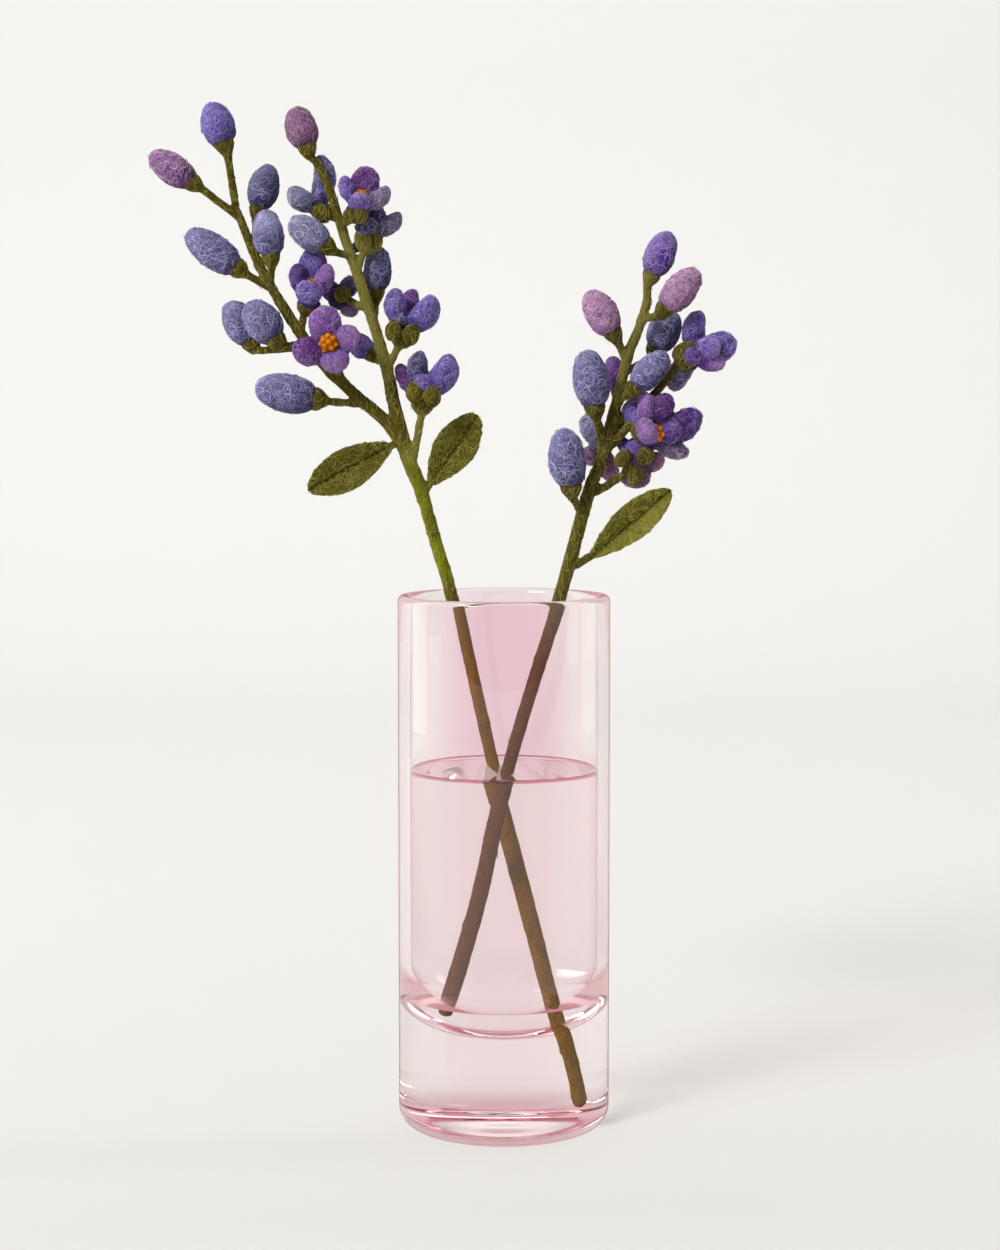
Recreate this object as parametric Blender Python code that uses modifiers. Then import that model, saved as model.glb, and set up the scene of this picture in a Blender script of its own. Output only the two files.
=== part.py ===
"""Two sprigs of needle-felted wool flowers standing in a pink glass cylinder vase with water.

Places are given in millimetres on the picture plane: x to the right of the vase's axis and z above
its foot, as they look from in front at the distance of the view. sight() turns such a place, with a
depth behind the vase's axis, into a point in space.
"""
import math
from dataclasses import dataclass

import bmesh
import bpy
from mathutils import Matrix, Vector

MM = 0.001
GAP = 0.3
CLEARANCE = 0.4

# Vase and water, in millimetres
VASE_RADIUS = 37.5
VASE_HEIGHT = 190.0
WALL = 4.2
FOOT_ROUND = 6.0
WELL_FLOOR = 35.0
WELL_ROUND = 25.0
WATER_LEVEL = 128.0
FOOT_RINGS = ((21.0, 0.0), (19.5, 1.2), (11.5, 1.2), (10.0, 0.0))
TURN_STEPS = 32

# The view that the picture-plane places were measured in
EYE_DISTANCE = 930.0
EYE_HEIGHT = 258.0
EYE_SIDE = -1.4
EYE_PITCH = math.radians(4.87)
PICTURE_DISTANCE = 941.0
PICTURE_MIDDLE = 176.65

# Felt stems, stalks and twigs: radii in millimetres
RIM_HEIGHT = 186.5
STEM_RADIUS = 2.5
STEM_END = 0.75
FORK_RADIUS = 3.0
STALK_RADII = (2.85, 2.5, 2.2, 1.7)
TWIG_RADIUS = 1.55

# Buds: their cup's share of the bud's width, the cup's length and how far the twig runs straight to it
CUP_WIDTH = 0.58
CUP_LENGTH = 7.0
CUP_NECK = 3.0
BUD_TAPER = -0.08

# Flowers: a petal's thickness for its width, its overlap behind the heart, its taper and its hollow
PETAL_PLUMPNESS = 0.7
PETAL_ROOT = 1.0
PETAL_TAPER = 0.28
PETAL_HOLLOW = 0.028
HEART_SIZE = (8.4, 8.4, 5.4)
HEART_SEAT = 1.0
CENTRE_SEAT = 1.4
CENTRE_KNOBS = 0.16
LOBE_THICKNESS = 3.4
LOBE_LENGTH = 2.3

# Leaves: the fold is the rise for each millimetre across, the arch is along the length
LEAF_THICKNESS = 2.0
LEAF_FOLD = 0.38
LEAF_ARCH = 1.6
LEAF_ENDS = 0.03
LEAF_FULLNESS = 0.75
LEAF_BLUNTNESS = 0.16
PETIOLE_OVERLAP = 1.5

# Fusing: distances tried for welding slivers, and the Boolean solvers in the order they are tried
WELDS = (0.1, 0.05, 0.02, 0.0)
SOLVERS = ("EXACT", "MANIFOLD")


@dataclass(frozen=True)
class Bud:
    """One closed bud: where its twig leaves the stalk, its seat in the calyx, its tip, width and offset."""
    number: int
    joint: tuple
    seat: tuple
    tip: tuple
    width: float
    out: float
    hue: str = "violet"


@dataclass(frozen=True)
class Flower:
    """One open flower; each petal is (x, z) of its tip, its depth from the heart and its width."""
    number: int
    joint: tuple
    seat: tuple
    heart: tuple
    out: float
    petals: tuple
    cup: float = 3.2
    lobes: tuple = ()
    via: tuple = ()
    centre: float = 2.6
    hue: str = "violet"


@dataclass(frozen=True)
class Leaf:
    """One leaf: stem joint, blade base and tip, half width, offset at base and at tip."""
    number: int
    joint: tuple
    base: tuple
    tip: tuple
    half_width: float
    out: float
    tip_out: float


@dataclass(frozen=True)
class Sprig:
    """One sprig, with its depth at the rim and how much that grows with each millimetre of height."""
    name: str
    rim_depth: float
    lean: float
    wet_stem: tuple
    stem: tuple
    stalks: tuple
    buds: tuple
    flowers: tuple
    leaves: tuple

    def depth(self, z, out=0.0):
        """Depth behind the vase's axis at picture height z."""
        return self.rim_depth + self.lean * (z - RIM_HEIGHT) + out

    def point(self, place, out=0.0):
        """Point in space for a picture-plane place on this sprig."""
        return sight(place[0], place[1], self.depth(place[1], out))


LEFT = Sprig(
    name="left_sprig",
    rim_depth=23.6,
    lean=0.085,
    wet_stem=((22.0, -13.0, 7.0), (20.3, -11.4, 15.0), (17.9, -9.4, 27.0), (13.4, -5.5, 46.0),
              (5.0, 2.8, 85.0), (-3.9, 11.3, 128.0)),
    stem=((-18.5, 186.5), (-23.5, 203.5), (-27, 216), (-30, 226), (-33.5, 234.5), (-36.5, 244)),
    stalks=(((-33.5, 236), (-41, 248), (-54, 259.5), (-65, 270.5), (-73.5, 282), (-79, 290.5),
             (-86.5, 303.5), (-91, 314), (-95, 324)),
            ((-35.5, 241), (-39.5, 257), (-41.5, 267), (-45, 279.5), (-48.5, 290.5), (-52, 301),
             (-55, 309.5), (-60, 325), (-62.5, 333), (-67, 342))),
    buds=(
        Bud(1, (-95, 322), (-99.5, 347.5), (-104.5, 362.5), 12.1, 0),
        Bud(2, (-94.5, 322), (-110.5, 334), (-126, 344.5), 12.8, -2, "lilac"),
        Bud(3, (-89, 309), (-87.5, 324.5), (-83.5, 340.5), 11, 7, "slate"),
        Bud(4, (-83.5, 298), (-83, 307.5), (-85, 324.5), 11.4, -4, "blue"),
        Bud(5, (-84, 297), (-94.5, 303.5), (-113, 316.5), 12.1, -3, "blue"),
        Bud(6, (-74, 275.5), (-90, 277), (-98, 291.5), 12.1, 9, "blue"),
        Bud(7, (-72, 277), (-81, 278), (-91, 291.5), 12.8, -4, "blue"),
        Bud(8, (-51.5, 255.5), (-66.5, 257), (-88.5, 261.5), 13.9, -3, "blue"),
        Bud(9, (-66, 341), (-70, 346.5), (-74.5, 361), 11.4, 0, "mauve"),
        Bud(10, (-54.5, 308), (-63, 311.5), (-76, 321), 11.8, -4, "lilac"),
        Bud(11, (-46.5, 284), (-45.5, 295), (-44.5, 311.5), 10, 7, "slate"),
        Bud(12, (-43, 270.5), (-47.5, 273), (-55, 279.5), 8.6, 6, "violet"),
    ),
    flowers=(
        Flower(1, (-72.5, 280.5), (-71, 289), (-69.5, 292), -4,
               ((-67.5, 309.5, 9, 10.7), (-75, 304, 1, 9.3), (-61, 303, 1, 9.3), (-69, 299, -12, 10.7)),
               centre=3.0),
        Flower(2, (-56.5, 261), (-61.5, 274.5), (-62.5, 275.5), -8,
               ((-65, 291, -3, 12.5), (-51, 280.5, -6, 11.4), (-59.5, 267, -7, 11),
                (-75.5, 274.5, -5, 11.8)), centre=3.6, hue="plum"),
        Flower(3, (-59, 321.5), (-64, 322.5), (-65, 325), 5,
               ((-62.5, 343.5, 2, 10), (-77, 332, -1, 9.3), (-65, 332.5, -6, 6.1),
                (-70, 336, 9, 7.8)), hue="slate"),
        Flower(4, (-58.5, 319), (-53.5, 321.5), (-52.5, 323.5), -7,
               ((-58, 335.5, 1, 8.6), (-49, 338.5, 6, 10.7), (-51, 332.5, -11, 8.6),
                (-40.5, 329, -2, 9.6)), lobes=((-55, 321.5, -3, 2.9), (-51, 322, -3, 2.9)),
               centre=3.0),
        Flower(5, (-52.5, 302.5), (-49, 312.5), (-47.5, 314.5), 1,
               ((-36.5, 321, -1, 7.5), (-44.5, 326, 4, 7.8), (-51, 320.5, 1, 7.8),
                (-54.5, 309, 7, 5)), cup=5.4, hue="mauve"),
        Flower(6, (-51, 290), (-58.5, 293.5), (-59.5, 293), 8,
               ((-52.5, 300, 7, 6.4), (-52.5, 286, 7, 5.7), (-65, 298, 6, 7.1)), hue="slate"),
        Flower(7, (-42, 267), (-36.5, 278), (-36, 281), -2,
               ((-40.5, 296, -4, 10.4), (-25, 292, -4, 10.7), (-33, 294.5, 8, 7.8),
                (-37.5, 286.5, -9, 5)), lobes=((-39.5, 281.5, -3, 3.3), (-33, 280, -3, 3.3))),
        Flower(8, (-32, 236.5), (-29, 254.5), (-29, 257), -2,
               ((-31.5, 274, -3, 9.4), (-17.5, 272, -3, 10.6), (-38, 268.5, 7, 6.6),
                (-28.5, 264, -9, 6.4)), lobes=((-32, 259.5, -3, 3.3), (-25.5, 258, -3, 3.4))),
    ),
    leaves=(
        Leaf(1, (-35.5, 242.5), (-40, 240.7), (-70, 224.5), 7.5, -3, -9),
        Leaf(2, (-29, 223), (-26.5, 227), (-9.5, 251.5), 7.5, 1, 5),
    ),
)

RIGHT = Sprig(
    name="right_sprig",
    rim_depth=-22.6,
    lean=-0.08,
    wet_stem=((-15.2, 5.8, 38.4), (-13.2, 4.2, 50.0), (-6.5, -2.0, 85.0), (1.0, -10.0, 128.0)),
    stem=((19.8, 186.5), (25.5, 207), (30.5, 225), (35, 235.5), (36.5, 242.5), (40.5, 257),
          (44, 272), (48.5, 283.5), (51, 292)),
    stalks=(),
    buds=(
        Bud(1, (51, 290), (52.5, 301), (59, 316.5), 11.8, 0),
        Bud(2, (49.5, 286), (57, 289), (69, 303), 12.8, -3, "lilac"),
        Bud(3, (43.5, 270.5), (39, 280.5), (30, 295.5), 12.8, -2, "lilac"),
        Bud(4, (43.5, 267), (54, 274.5), (60.5, 288.5), 11.8, 8, "slate"),
        Bud(5, (41.5, 257.5), (46.5, 261), (58, 273.5), 11.8, -5, "blue"),
        Bud(6, (35.5, 240), (32.5, 254), (29.5, 274.5), 13.5, -5, "blue"),
        Bud(7, (28, 216), (24, 225.5), (21, 246.5), 13.5, -5, "blue"),
        Bud(8, (41, 246), (42.5, 247), (51, 259.5), 7.8, 6, "slate"),
        Bud(9, (41, 256), (40.5, 259.5), (38.5, 272.5), 7.1, 9, "violet"),
    ),
    flowers=(
        Flower(1, (38.5, 248), (62.5, 269.5), (67, 272), 0,
               ((67.5, 288.5, 5, 8.9), (82, 277.5, 4, 10), (76, 278, -7, 8.2), (78.5, 268.5, -3, 7.8),
                (59, 261, 7, 8.6), (67, 272.5, -12, 6.1)),
               lobes=((64, 274, 0, 3.6),), via=(52.5, 258)),
        Flower(2, (37, 239.5), (47.5, 244.5), (54, 243.5), -4,
               ((50.5, 248.5, -12, 10.7), (49.5, 258, -2, 7.1), (57.5, 259.5, 3, 8.9),
                (71, 248.5, 3, 11.4), (64, 245.5, -6, 8.9), (65, 236, -3, 7.1)), via=(41.5, 247),
               centre=3.0),
        Flower(3, (33, 224), (45.5, 232), (47.5, 234), -3,
               ((45.5, 243.5, 3, 6.4), (40.5, 243.5, 6, 5), (57.5, 235, 6, 7.1), (46.5, 226, 6, 10)),
               lobes=((42.5, 236, 0, 2.9), (50.5, 237, 0, 2.9), (47, 229.5, 0, 2.8)), hue="mauve"),
        Flower(4, (35.5, 237), (34.5, 239.5), (34.5, 240), 10,
               ((29, 252, 4, 7.8), (28.5, 234.5, 4, 7.1), (39, 228, 4, 7.1), (40.5, 246, 8, 7.1)),
               hue="mauve"),
    ),
    leaves=(
        Leaf(1, (26, 198), (31, 201), (59, 225), 7.0, -2, -8),
    ),
)

HUES = {
    "violet": "#6A4FA3",
    "plum": "#7C4A96",
    "blue": "#6669A4",
    "slate": "#4A4870",
    "lilac": "#A878B4",
    "mauve": "#8C6690",
}


def sight(x, z, depth):
    """Point in space, in metres, seen at picture place (x, z), at a depth behind the vase's axis."""
    eye = Vector((EYE_SIDE, -EYE_DISTANCE, EYE_HEIGHT))
    ahead = Vector((0, math.cos(EYE_PITCH), -math.sin(EYE_PITCH)))
    upward = Vector((0, math.sin(EYE_PITCH), math.cos(EYE_PITCH)))
    ray = ahead * PICTURE_DISTANCE + Vector((x - EYE_SIDE, 0, 0)) + upward * (z - PICTURE_MIDDLE)
    return (eye + ray * ((depth - eye.y) / ray.y)) * MM


def clear_scene():
    """Remove everything that the scene holds at the start."""
    for obj in list(bpy.data.objects):
        bpy.data.objects.remove(obj, do_unlink=True)


def new_collection(name):
    """Make a collection in the scene."""
    collection = bpy.data.collections.new(name)
    bpy.context.scene.collection.children.link(collection)
    return collection


def linear(hex_colour):
    """Linear RGBA of an sRGB hex colour."""
    values = [int(hex_colour[i:i + 2], 16) / 255 for i in (1, 3, 5)]
    return [v / 12.92 if v <= 0.04045 else ((v + 0.055) / 1.055) ** 2.4 for v in values] + [1.0]


def surface(name, hex_colour, roughness, transmission=0.0, ior=1.45):
    """A material, made once and then shared."""
    material = bpy.data.materials.get(name)
    if material is None:
        material = bpy.data.materials.new(name)
        material.use_nodes = True
        shader = material.node_tree.nodes["Principled BSDF"]
        shader.inputs["Base Color"].default_value = linear(hex_colour)
        shader.inputs["Roughness"].default_value = roughness
        shader.inputs["Metallic"].default_value = 0.0
        shader.inputs["Transmission Weight"].default_value = transmission
        shader.inputs["IOR"].default_value = ior
        material.diffuse_color = linear(hex_colour)
    return material


def add_object(name, mesh, collection, material=None):
    """Put a mesh in a collection as a named object."""
    obj = bpy.data.objects.new(name, mesh)
    collection.objects.link(obj)
    if material is not None:
        mesh.materials.clear()
        mesh.materials.append(material)
    return obj


def evaluated_mesh(obj):
    """A new mesh from an object with its modifiers and bevels worked out."""
    bpy.context.view_layer.update()
    depsgraph = bpy.context.evaluated_depsgraph_get()
    return bpy.data.meshes.new_from_object(obj.evaluated_get(depsgraph))


def remove_objects(objects):
    """Remove helper objects."""
    for obj in list(objects):
        bpy.data.objects.remove(obj, do_unlink=True)


def smooth_path(points, samples):
    """Points along a smooth curve through the given points, with some samples in each span."""
    ends = [points[0] * 2 - points[1]] + list(points) + [points[-1] * 2 - points[-2]]
    path = []
    for before, start, end, after in zip(ends, ends[1:], ends[2:], ends[3:]):
        for step in range(samples):
            t = step / samples
            path.append(0.5 * (2 * start + (end - before) * t
                               + (2 * before - 5 * start + 4 * end - after) * t ** 2
                               + (3 * start - before - 3 * end + after) * t ** 3))
    path.append(points[-1])
    return path


def tube(points, radii, helpers, samples=2, sides=6, grow=0.0):
    """A round felt stem through points, with its radius running evenly through the given radii."""
    path = smooth_path(points, samples)
    path[0] = path[0] + (path[0] - path[1]).normalized() * grow * MM
    curve = bpy.data.curves.new("tube", "CURVE")
    curve.dimensions = "3D"
    curve.bevel_depth = MM
    curve.bevel_resolution = (sides - 4) // 2
    curve.use_fill_caps = True
    spline = curve.splines.new("POLY")
    spline.points.add(len(path) - 1)
    for index, (place, spot) in enumerate(zip(path, spline.points)):
        along = index / (len(path) - 1) * (len(radii) - 1)
        low = min(int(along), len(radii) - 2)
        spot.co = (*place, 1.0)
        spot.radius = radii[low] + (radii[low + 1] - radii[low]) * (along - low) + grow
    obj = add_object("tube", curve, helpers)
    mesh = evaluated_mesh(obj)
    weld = bmesh.new()
    weld.from_mesh(mesh)
    bmesh.ops.remove_doubles(weld, verts=weld.verts, dist=0.01 * MM)
    bmesh.ops.recalc_face_normals(weld, faces=weld.faces)
    weld.to_mesh(mesh)
    weld.free()
    solid = add_object("tube_solid", mesh, helpers)
    solid.matrix_world = obj.matrix_world
    bpy.data.objects.remove(obj, do_unlink=True)
    return solid


def frame_matrix(centre, axis, face):
    """Matrix whose Z runs along axis and whose Y looks towards face."""
    along = axis.normalized()
    across = face.cross(along)
    if across.length < 1e-9:
        across = along.orthogonal()
    across.normalize()
    matrix = Matrix((across, along.cross(across), along)).transposed().to_4x4()
    matrix.translation = centre
    return matrix


def felt_pad(centre, axis, face, size, helpers, sides=8, rings=4, taper=0.0, curve=0.0, knobs=0.0,
             grow=0.0):
    """A plump felt pad: an ellipsoid of size (width, thickness, length) in mm, hollowed towards face.

    With knobs, every second corner is drawn in by that share of the radius.
    """
    half = [value / 2 + grow for value in size]
    bm = bmesh.new()
    bmesh.ops.create_uvsphere(bm, u_segments=sides, v_segments=rings, radius=1.0)
    for vert in bm.verts:
        around = math.atan2(vert.co.y, vert.co.x) * sides / 2
        down = math.acos(max(-1.0, min(1.0, vert.co.z))) * rings
        x, y, z = vert.co * (1 - knobs * (1 - math.cos(around) * math.cos(down)) / 2)
        wide = x * half[0] * (1 + taper * z)
        thick = y * half[1] * (1 + taper * z)
        long = z * half[2]
        lift = curve * (wide ** 2 + long ** 2)
        vert.co = Vector((wide, thick + lift, long)) * MM
    bmesh.ops.triangulate(bm, faces=bm.faces)
    bm.transform(frame_matrix(centre, axis, face))
    mesh = bpy.data.meshes.new("pad")
    bm.to_mesh(mesh)
    bm.free()
    return add_object("pad", mesh, helpers)


def drop_scraps(bm):
    """Drop loose scraps that a cut leaves beside the main body, also those that touch it at an edge."""
    left = set(bm.faces)
    bodies = []
    while left:
        queue = [left.pop()]
        body = set(queue)
        while queue:
            for edge in queue.pop().edges:
                if len(edge.link_faces) != 2:
                    continue
                for face in edge.link_faces:
                    if face in left:
                        left.discard(face)
                        body.add(face)
                        queue.append(face)
        bodies.append(body)
    main = max(bodies, key=lambda body: sum(face.calc_area() for face in body))
    scraps = [face for body in bodies if body is not main for face in body]
    bmesh.ops.delete(bm, geom=scraps, context="FACES")


def tidy_body(mesh):
    """Keep the main body and weld its slivers, as far as it stays closed; says whether it is closed."""
    for distance in WELDS:
        bm = bmesh.new()
        bm.from_mesh(mesh)
        drop_scraps(bm)
        if distance:
            bmesh.ops.remove_doubles(bm, verts=bm.verts, dist=distance * MM)
            bmesh.ops.dissolve_degenerate(bm, edges=bm.edges, dist=0.1 * distance * MM)
        bmesh.ops.triangulate(bm, faces=bm.faces)
        drop_scraps(bm)
        closed = all(len(edge.link_faces) == 2 for edge in bm.edges)
        if closed:
            bm.to_mesh(mesh)
        bm.free()
        if closed:
            return True
    return False


def joined_mesh(solids, cuts, solver):
    """Mesh of the first solid fused with the others and less the cuts, by Booleans on collections."""
    base = solids[0].copy()
    bpy.context.scene.collection.objects.link(base)
    groups = []
    for operation, operands in (("UNION", solids[1:]), ("DIFFERENCE", cuts)):
        if not operands:
            continue
        group = new_collection(operation.lower())
        groups.append(group)
        for operand in operands:
            group.objects.link(operand)
        modifier = base.modifiers.new(operation.lower(), "BOOLEAN")
        modifier.operation = operation
        modifier.solver = solver
        modifier.operand_type = "COLLECTION"
        modifier.collection = group
    mesh = evaluated_mesh(base)
    mesh.transform(base.matrix_world)
    bpy.data.objects.remove(base, do_unlink=True)
    for group in groups:
        bpy.data.collections.remove(group)
    return mesh


def fuse(name, solids, collection, material, cuts=()):
    """One object from several solids, less the cuts, by the first solver that leaves it closed."""
    for solver in SOLVERS:
        mesh = joined_mesh(solids, cuts, solver)
        if tidy_body(mesh):
            break
    remove_objects([*solids, *cuts])
    mesh.shade_smooth()
    return add_object(name, mesh, collection, material)


def arc(centre, radius, start, end, steps):
    """Points of a circular arc in the profile plane, from one angle to another in degrees."""
    points = []
    for step in range(steps + 1):
        angle = math.radians(start + (end - start) * step / steps)
        points.append((centre[0] + radius * math.cos(angle), centre[1] + radius * math.sin(angle)))
    return points


def turned(name, profile, collection, material):
    """A solid turned round the Z axis from a profile of (radius, height) in mm."""
    mesh = bpy.data.meshes.new(name)
    corners = [(radius * MM, 0.0, height * MM) for radius, height in profile]
    mesh.from_pydata(corners, [(i, i + 1) for i in range(len(corners) - 1)], [])
    obj = add_object(name, mesh, collection, material)
    screw = obj.modifiers.new("turn", "SCREW")
    screw.steps = TURN_STEPS
    screw.render_steps = TURN_STEPS
    screw.use_merge_vertices = True
    screw.merge_threshold = 0.00005
    screw.use_smooth_shade = True
    return obj


def cut_with(obj, cutter, cutters):
    """Cut one object out of another with a Boolean that stays on it."""
    for holder in list(cutter.users_collection):
        holder.objects.unlink(cutter)
    cutters.objects.link(cutter)
    cutter.hide_render = True
    cutter.display_type = "WIRE"
    modifier = obj.modifiers.new("cut", "BOOLEAN")
    modifier.operation = "DIFFERENCE"
    modifier.solver = "EXACT"
    modifier.object = cutter


def stem_points(sprig):
    """Points of a sprig's main stem from its end in the vase to the fork."""
    wet = [Vector(place) * MM for place in sprig.wet_stem]
    return wet + [sprig.point(place) for place in sprig.stem]


def stem_radii(grow=0.0):
    """Radii along a main stem: rounded off at its foot, thicker towards the fork."""
    return [value + grow for value in (STEM_RADIUS * STEM_END, STEM_RADIUS, STEM_RADIUS, STEM_RADIUS,
                                       STEM_RADIUS, STEM_RADIUS, STEM_RADIUS, FORK_RADIUS, FORK_RADIUS)]


def make_vase(parts, cutters, helpers):
    """The glass: a straight wall on a heavy base with a round-bottomed well and one bored socket."""
    inner = VASE_RADIUS - WALL
    lip = WALL / 2
    profile = [(0.0, WELL_FLOOR)]
    profile += arc((inner - WELL_ROUND, WELL_FLOOR + WELL_ROUND), WELL_ROUND, -90, 0, 6)
    profile += arc((VASE_RADIUS - lip, VASE_HEIGHT - lip), lip, 180, 0, 4)
    profile += arc((VASE_RADIUS - FOOT_ROUND, FOOT_ROUND), FOOT_ROUND, 0, -90, 4)
    profile += list(FOOT_RINGS) + [(0.0, 0.0)]
    glass = surface("pink_glass", "#F0C2CA", 0.02, transmission=1.0)
    vase = turned("vase", profile, parts, glass)
    socket = tube(stem_points(LEFT)[:len(LEFT.wet_stem)], [STEM_RADIUS, STEM_RADIUS], helpers,
                  samples=2, sides=8, grow=GAP)
    socket.name = "stem_socket"
    cut_with(vase, socket, cutters)
    return vase


def make_water(parts, cutters, helpers):
    """The water in the well, with a plain hole for each stem."""
    inner = VASE_RADIUS - WALL - GAP
    turn = WELL_ROUND - GAP
    floor = WELL_FLOOR + GAP
    profile = [(0.0, WATER_LEVEL), (inner, WATER_LEVEL)]
    profile += arc((inner - turn, floor + turn), turn, 0, -90, 6)
    profile.append((0.0, floor))
    water = turned("water", profile, parts, surface("water", "#F4F8FA", 0.0, transmission=1.0, ior=1.333))
    for sprig in (LEFT, RIGHT):
        points = stem_points(sprig)
        hole = tube(points[:len(sprig.wet_stem) + 1], [STEM_RADIUS, STEM_RADIUS], helpers,
                    samples=2, sides=8, grow=CLEARANCE)
        hole.name = sprig.name + "_hole"
        cut_with(water, hole, cutters)
    return water


def bud_pad(sprig, bud, helpers, grow=0.0):
    """The egg-shaped body of a bud."""
    seat = sprig.point(bud.seat, bud.out)
    tip = sprig.point(bud.tip, bud.out)
    length = (tip - seat).length / MM
    return felt_pad((seat + tip) / 2, tip - seat, Vector((0, -1, 0)), (bud.width, bud.width, length),
                    helpers, sides=8, rings=6, taper=BUD_TAPER, grow=grow)


def flower_frame(sprig, flower):
    """Heart and facing direction of a flower, and the tip of each of its petals."""
    heart = sprig.point(flower.heart, flower.out)
    tips = [sprig.point(petal[:2], flower.out + petal[2]) for petal in flower.petals]
    facing = Vector((0, 0, 0))
    for tip in tips:
        facing += (tip - heart).normalized()
    return heart, facing.normalized(), tips


def petal_pads(sprig, flower, helpers, grow=0.0):
    """The petals of a flower and the small ball that they meet in."""
    heart, facing, tips = flower_frame(sprig, flower)
    pads = [felt_pad(heart - facing * HEART_SEAT * MM, facing, Vector((1, 0, 0)), HEART_SIZE, helpers,
                     sides=6, rings=4, grow=grow)]
    for petal, tip in zip(flower.petals, tips):
        root = heart - (tip - heart).normalized() * PETAL_ROOT * MM
        axis = tip - root
        pads.append(felt_pad((root + tip) / 2, axis, facing,
                             (petal[3], PETAL_PLUMPNESS * petal[3], axis.length / MM), helpers,
                             taper=PETAL_TAPER, curve=PETAL_HOLLOW, grow=grow))
    return pads


def centre_pad(sprig, flower, helpers, knobs=0.0, grow=0.0):
    """The knobbly orange centre of a flower, seated in front of its heart."""
    heart, facing, _ = flower_frame(sprig, flower)
    size = 2 * flower.centre
    return felt_pad(heart + facing * (flower.centre + CENTRE_SEAT) * MM, facing, Vector((1, 0, 0)),
                    (size, size, size), helpers, sides=8, rings=4, knobs=knobs, grow=grow)


def make_buds(sprig, parts, helpers):
    """All closed buds of a sprig, one object each."""
    for bud in sprig.buds:
        felt = surface("felt_" + bud.hue, HUES[bud.hue], 0.95)
        pad = bud_pad(sprig, bud, helpers)
        fuse(f"{sprig.name}_bud_{bud.number}", [pad], parts, felt)


def make_flowers(sprig, parts, helpers):
    """All open flowers of a sprig: the fused petals and the orange centre."""
    for flower in sprig.flowers:
        felt = surface("felt_" + flower.hue, HUES[flower.hue], 0.95)
        name = f"{sprig.name}_flower_{flower.number}"
        hollow = centre_pad(sprig, flower, helpers, grow=CLEARANCE)
        fuse(name + "_petals", petal_pads(sprig, flower, helpers), parts, felt, cuts=[hollow])
        fuse(name + "_centre", [centre_pad(sprig, flower, helpers, knobs=CENTRE_KNOBS)], parts,
             surface("felt_orange", "#F08A12", 0.9))


def bud_green(sprig, bud, helpers):
    """Twig and calyx cup of a bud."""
    joint = sprig.point(bud.joint)
    seat = sprig.point(bud.seat, bud.out)
    tip = sprig.point(bud.tip, bud.out)
    axis = (tip - seat).normalized()
    below = seat - axis * CUP_NECK * MM
    twig = tube([joint, below, seat], [TWIG_RADIUS, TWIG_RADIUS], helpers, samples=1)
    width = CUP_WIDTH * bud.width
    cup = felt_pad(seat, axis, Vector((0, -1, 0)), (width, width, CUP_LENGTH), helpers, sides=6, rings=4)
    return [twig, cup]


def flower_green(sprig, flower, helpers):
    """Twig, calyx cup and sepal lobes of a flower."""
    heart, facing, _ = flower_frame(sprig, flower)
    seat = sprig.point(flower.seat, flower.out)
    points = [sprig.point(flower.joint), seat]
    if flower.via:
        points.insert(1, sprig.point(flower.via, flower.out / 2))
    solids = [tube(points, [TWIG_RADIUS, TWIG_RADIUS], helpers)]
    cup = 2 * flower.cup
    solids.append(felt_pad((seat + heart) / 2, facing, Vector((1, 0, 0)), (cup, cup, cup * 1.1), helpers,
                           sides=7, rings=4))
    for x, z, out, radius in flower.lobes:
        lobe = sprig.point((x, z), flower.out + out)
        size = (radius * 2, LOBE_THICKNESS, radius * LOBE_LENGTH)
        solids.append(felt_pad(lobe, lobe - seat, lobe - heart, size, helpers, sides=6, rings=4))
    return solids


def leaf_base(sprig, leaf):
    """Where the blade of a leaf starts and ends."""
    return sprig.point(leaf.base, leaf.out), sprig.point(leaf.tip, leaf.tip_out)


def make_stem(sprig, parts, helpers):
    """Stem, stalks, twigs, calyxes and petioles of a sprig, needled together into one felt body."""
    solids = [tube(stem_points(sprig), stem_radii(), helpers, samples=2, sides=8)]
    for stalk in sprig.stalks:
        points = [sprig.point(place) for place in stalk]
        solids.append(tube(points, STALK_RADII, helpers, samples=1, sides=8))
    cuts = []
    for bud in sprig.buds:
        solids += bud_green(sprig, bud, helpers)
        cuts.append(bud_pad(sprig, bud, helpers, grow=CLEARANCE))
    for flower in sprig.flowers:
        solids += flower_green(sprig, flower, helpers)
        cuts += petal_pads(sprig, flower, helpers, grow=CLEARANCE)
        cuts.append(centre_pad(sprig, flower, helpers, grow=CLEARANCE))
    for leaf in sprig.leaves:
        base, tip = leaf_base(sprig, leaf)
        end = base + (tip - base).normalized() * PETIOLE_OVERLAP * MM
        solids.append(tube([sprig.point(leaf.joint), end], [TWIG_RADIUS, TWIG_RADIUS], helpers,
                           samples=3))
        cuts.append(leaf_solid(sprig, leaf, helpers, grow=CLEARANCE))
    green = surface("felt_olive", "#5F5C28", 0.95)
    return fuse(sprig.name + "_stem", solids, parts, green, cuts=cuts)


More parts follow.
